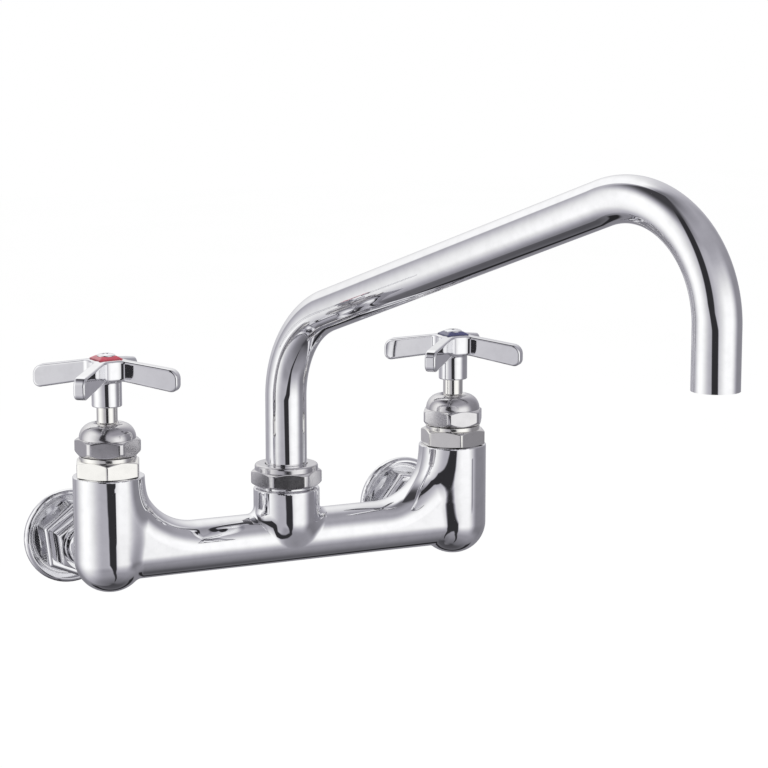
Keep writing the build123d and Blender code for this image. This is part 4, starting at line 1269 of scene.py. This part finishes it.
def surroundings(work, gain):
    """Light of the studio's walls by direction, as a colour.

    Bearing is atan2(-x, -y) in degrees, so 0 is straight out from the wall and 90 to the left, and
    elevation is asin(z / length). A grey that follows the elevation takes in turn the glow of the floor,
    every panel's level inside its window, and the dark stand beside the camera, whose middle and width
    follow the elevation. A panel behind the faucet counts its bearings on from 180. Greys under full light
    are tinted cool.
    """
    place = work.node("ShaderNodeTexCoord", output=3)
    x, y, z = (work.node("ShaderNodeSeparateXYZ", None, {"Vector": place}, output=n) for n in range(3))
    span = work.node("ShaderNodeVectorMath", {"operation": "LENGTH"}, {0: place}, output=1)
    degrees = 180 / math.pi
    bearing = span.math("ARCTAN2", x * -1, y * -1) * degrees
    height = span.math("ARCSINE", span.math("DIVIDE", z, span)) * degrees
    onward = bearing + span.math("LESS_THAN", bearing, 0.0) * 360
    tone = by_height(work, height, SURROUND)
    glow = window(bearing, GLOW_BEARINGS) * window(height, GLOW_HEIGHTS)
    tone = tone + (by_height(work, height, FLOOR_GLOW) - tone) * glow
    for level, bearings, heights in PANELS:
        share = window(onward if bearings[3] > 180 else bearing, bearings) * window(height, heights)
        tone = tone + (level - tone) * share
    middle = by_height(work, height, STAND_MIDDLE, -20, 60)
    half = by_height(work, height, STAND_HALF_WIDTH, 0, 20)
    beside = span.math("ABSOLUTE", bearing - middle) - half
    stand = beside.ramp(-STAND_EDGE, STAND_EDGE, 1.0, 0.0) * window(height, STAND_HEIGHTS)
    tone = (tone + (STAND_LEVEL - tone) * stand) * gain
    grey = work.node("ShaderNodeCombineColor", None, {0: tone, 1: tone, 2: tone})
    cool = work.node("ShaderNodeVectorMath", {"operation": "MULTIPLY"}, {0: grey, 1: COOL_TINT})
    return work.mix_colour(tone.ramp(0.3, 1.0), cool, grey)


def studio_floor(colour):
    """Pale floor: matt with a faint mottle, four fifths plain white to the camera, and clear to mirrors."""
    work = NodeWork(bpy.data.materials.new("pale floor"))
    place = work.node("ShaderNodeTexCoord", output=3)
    shade = work.mix_colour(work.noise(place, 3.0).ramp(0.2, 0.8), rgba(colour, 0.97), rgba(colour))
    matt = work.node("ShaderNodeBsdfDiffuse", None, {"Color": shade})
    white = work.node("ShaderNodeEmission", None, {"Color": rgba(colour)})
    clear = work.node("ShaderNodeBsdfTransparent")
    seen = work.node("ShaderNodeLightPath", output=0)
    mirrored = work.node("ShaderNodeLightPath", output=3)
    look = work.node("ShaderNodeMixShader", None, {0: seen * 0.8, 1: matt, 2: white})
    return work.finish_with(work.node("ShaderNodeMixShader", None, {0: mirrored, 1: look, 2: clear}))


def add_floor(size, look):
    """A level square grid of quads at the floor's height."""
    side = np.linspace(-FLOOR_HALF, FLOOR_HALF, FLOOR_CELLS + 1)
    grid_x, grid_y = np.meshgrid(side, side, indexing="ij")
    points = np.stack([grid_x, grid_y, np.full_like(grid_x, size.floor)], axis=-1).reshape(-1, 3)
    cell = np.arange(FLOOR_CELLS)
    first = (cell[:, None] * len(side) + cell).reshape(-1, 1)
    faces = first + np.array([0, len(side), len(side) + 1, 1])
    plain_mesh("studio_floor", points, faces.tolist(), studio_floor(look.backdrop))


def add_walls(size):
    """A ball round the faucet that only mirrors see: radius * (cos elevation, sin elevation), turned."""
    work = NodeWork(bpy.data.materials.new("studio walls"))
    light = work.node("ShaderNodeEmission", None, {"Color": surroundings(work, size.gain)})
    walls = work.finish_with(light)
    walls.cycles.emission_sampling = "NONE"
    bend = np.linspace(-math.pi / 2, math.pi / 2, 34)[1:-1]
    rows = np.stack([size.dome * np.cos(bend), size.dome * np.sin(bend)], axis=-1)[:, :, None]
    theta = np.linspace(0, 2 * math.pi, 64, endpoint=False)
    points, face_sets = solid_shell(rows, (0, 0, 0), theta=theta)
    dome = plain_mesh("studio_dome", points, [face for faces in face_sets for face in faces.tolist()], walls)
    dome.location = DOME_CENTRE
    dome.visible_camera = dome.visible_diffuse = dome.visible_shadow = dome.visible_transmission = False


def add_lamp(scene, power):
    """A large soft lamp over the right front, which mirrors don't see."""
    lamp_data = bpy.data.lights.new("soft lamp", "AREA")
    lamp_data.shape = "RECTANGLE"
    lamp_data.size, lamp_data.size_y = LAMP_SIZE
    lamp_data.energy = power
    lamp = bpy.data.objects.new("soft lamp", lamp_data)
    scene.collection.objects.link(lamp)
    lamp.location = LAMP_PLACE
    lamp.rotation_euler = (-lamp.location).to_track_quat("-Z", "Y").to_euler()
    lamp.visible_glossy = False


def add_camera(scene):
    """The camera that matches the photograph, placed by its three axes."""
    camera_data = bpy.data.cameras.new("camera")
    camera_data.lens, camera_data.sensor_width = CAMERA_LENS, CAMERA_SENSOR
    camera = bpy.data.objects.new("camera", camera_data)
    scene.collection.objects.link(camera)
    turned = Matrix((CAMERA_RIGHT, CAMERA_UP, CAMERA_BACK)).transposed().to_4x4()
    camera.matrix_world = Matrix.Translation(CAMERA_PLACE) @ turned
    scene.camera = camera


class FAUCET_OT_studio(bpy.types.Operator):
    """Studio: white background and floor, grey walls and soft panels for mirrors, a lamp and a camera"""

    bl_idname = "faucet.studio"
    bl_label = "Studio"

    def execute(self, context):
        size = context.scene.faucet_studio
        look = context.scene.faucet_finish
        scene = context.scene
        scene.view_settings.view_transform = "Standard"
        world = bpy.data.worlds.new("white surround")
        scene.world = world
        work = NodeWork(world)
        white = work.node("ShaderNodeBackground", None, {"Color": rgba(look.backdrop)})
        work.finish_with(white, "ShaderNodeOutputWorld")
        world.cycles_visibility.glossy = False
        add_floor(size, look)
        add_walls(size)
        add_lamp(scene, size.lamp)
        add_camera(scene)
        return {"FINISHED"}


class FAUCET_PT_panel(bpy.types.Panel):
    """Lists the faucet's pieces in the sidebar"""

    bl_idname = "FAUCET_PT_panel"
    bl_label = "Wall faucet"
    bl_space_type = "VIEW_3D"
    bl_region_type = "UI"
    bl_category = "Faucet"

    def draw(self, context):
        for operator in OPERATORS:
            self.layout.operator(operator.bl_idname)


GROUPS = {
    "faucet_body": FAUCET_PG_body,
    "faucet_valve": FAUCET_PG_valve,
    "faucet_handle": FAUCET_PG_handle,
    "faucet_spout": FAUCET_PG_spout,
    "faucet_wall": FAUCET_PG_wall,
    "faucet_finish": FAUCET_PG_finish,
    "faucet_studio": FAUCET_PG_studio,
}
OPERATORS = (
    FAUCET_OT_studio,
    FAUCET_OT_body,
    FAUCET_OT_spout_tube,
    FAUCET_OT_spout_nut,
    FAUCET_OT_bonnets,
    FAUCET_OT_packing_nuts,
    FAUCET_OT_stems,
    FAUCET_OT_handles,
    FAUCET_OT_index_plates,
    FAUCET_OT_handle_screws,
    FAUCET_OT_wall_flanges,
    FAUCET_OT_coupling_nuts,
    FAUCET_OT_tailpieces,
    FAUCET_OT_inner_parts,
)


def register():
    for group in (*GROUPS.values(), *OPERATORS, FAUCET_PT_panel):
        bpy.utils.register_class(group)
    for name, group in GROUPS.items():
        setattr(bpy.types.Scene, name, bpy.props.PointerProperty(type=group))


def unregister():
    for name in GROUPS:
        delattr(bpy.types.Scene, name)
    for group in (FAUCET_PT_panel, *reversed(OPERATORS), *reversed(GROUPS.values())):
        bpy.utils.unregister_class(group)


def main():
    """Builds every piece in order."""
    register()
    for operator in OPERATORS:
        getattr(bpy.ops.faucet, operator.bl_idname.split(".")[1])()


if __name__ == "__main__":
    main()
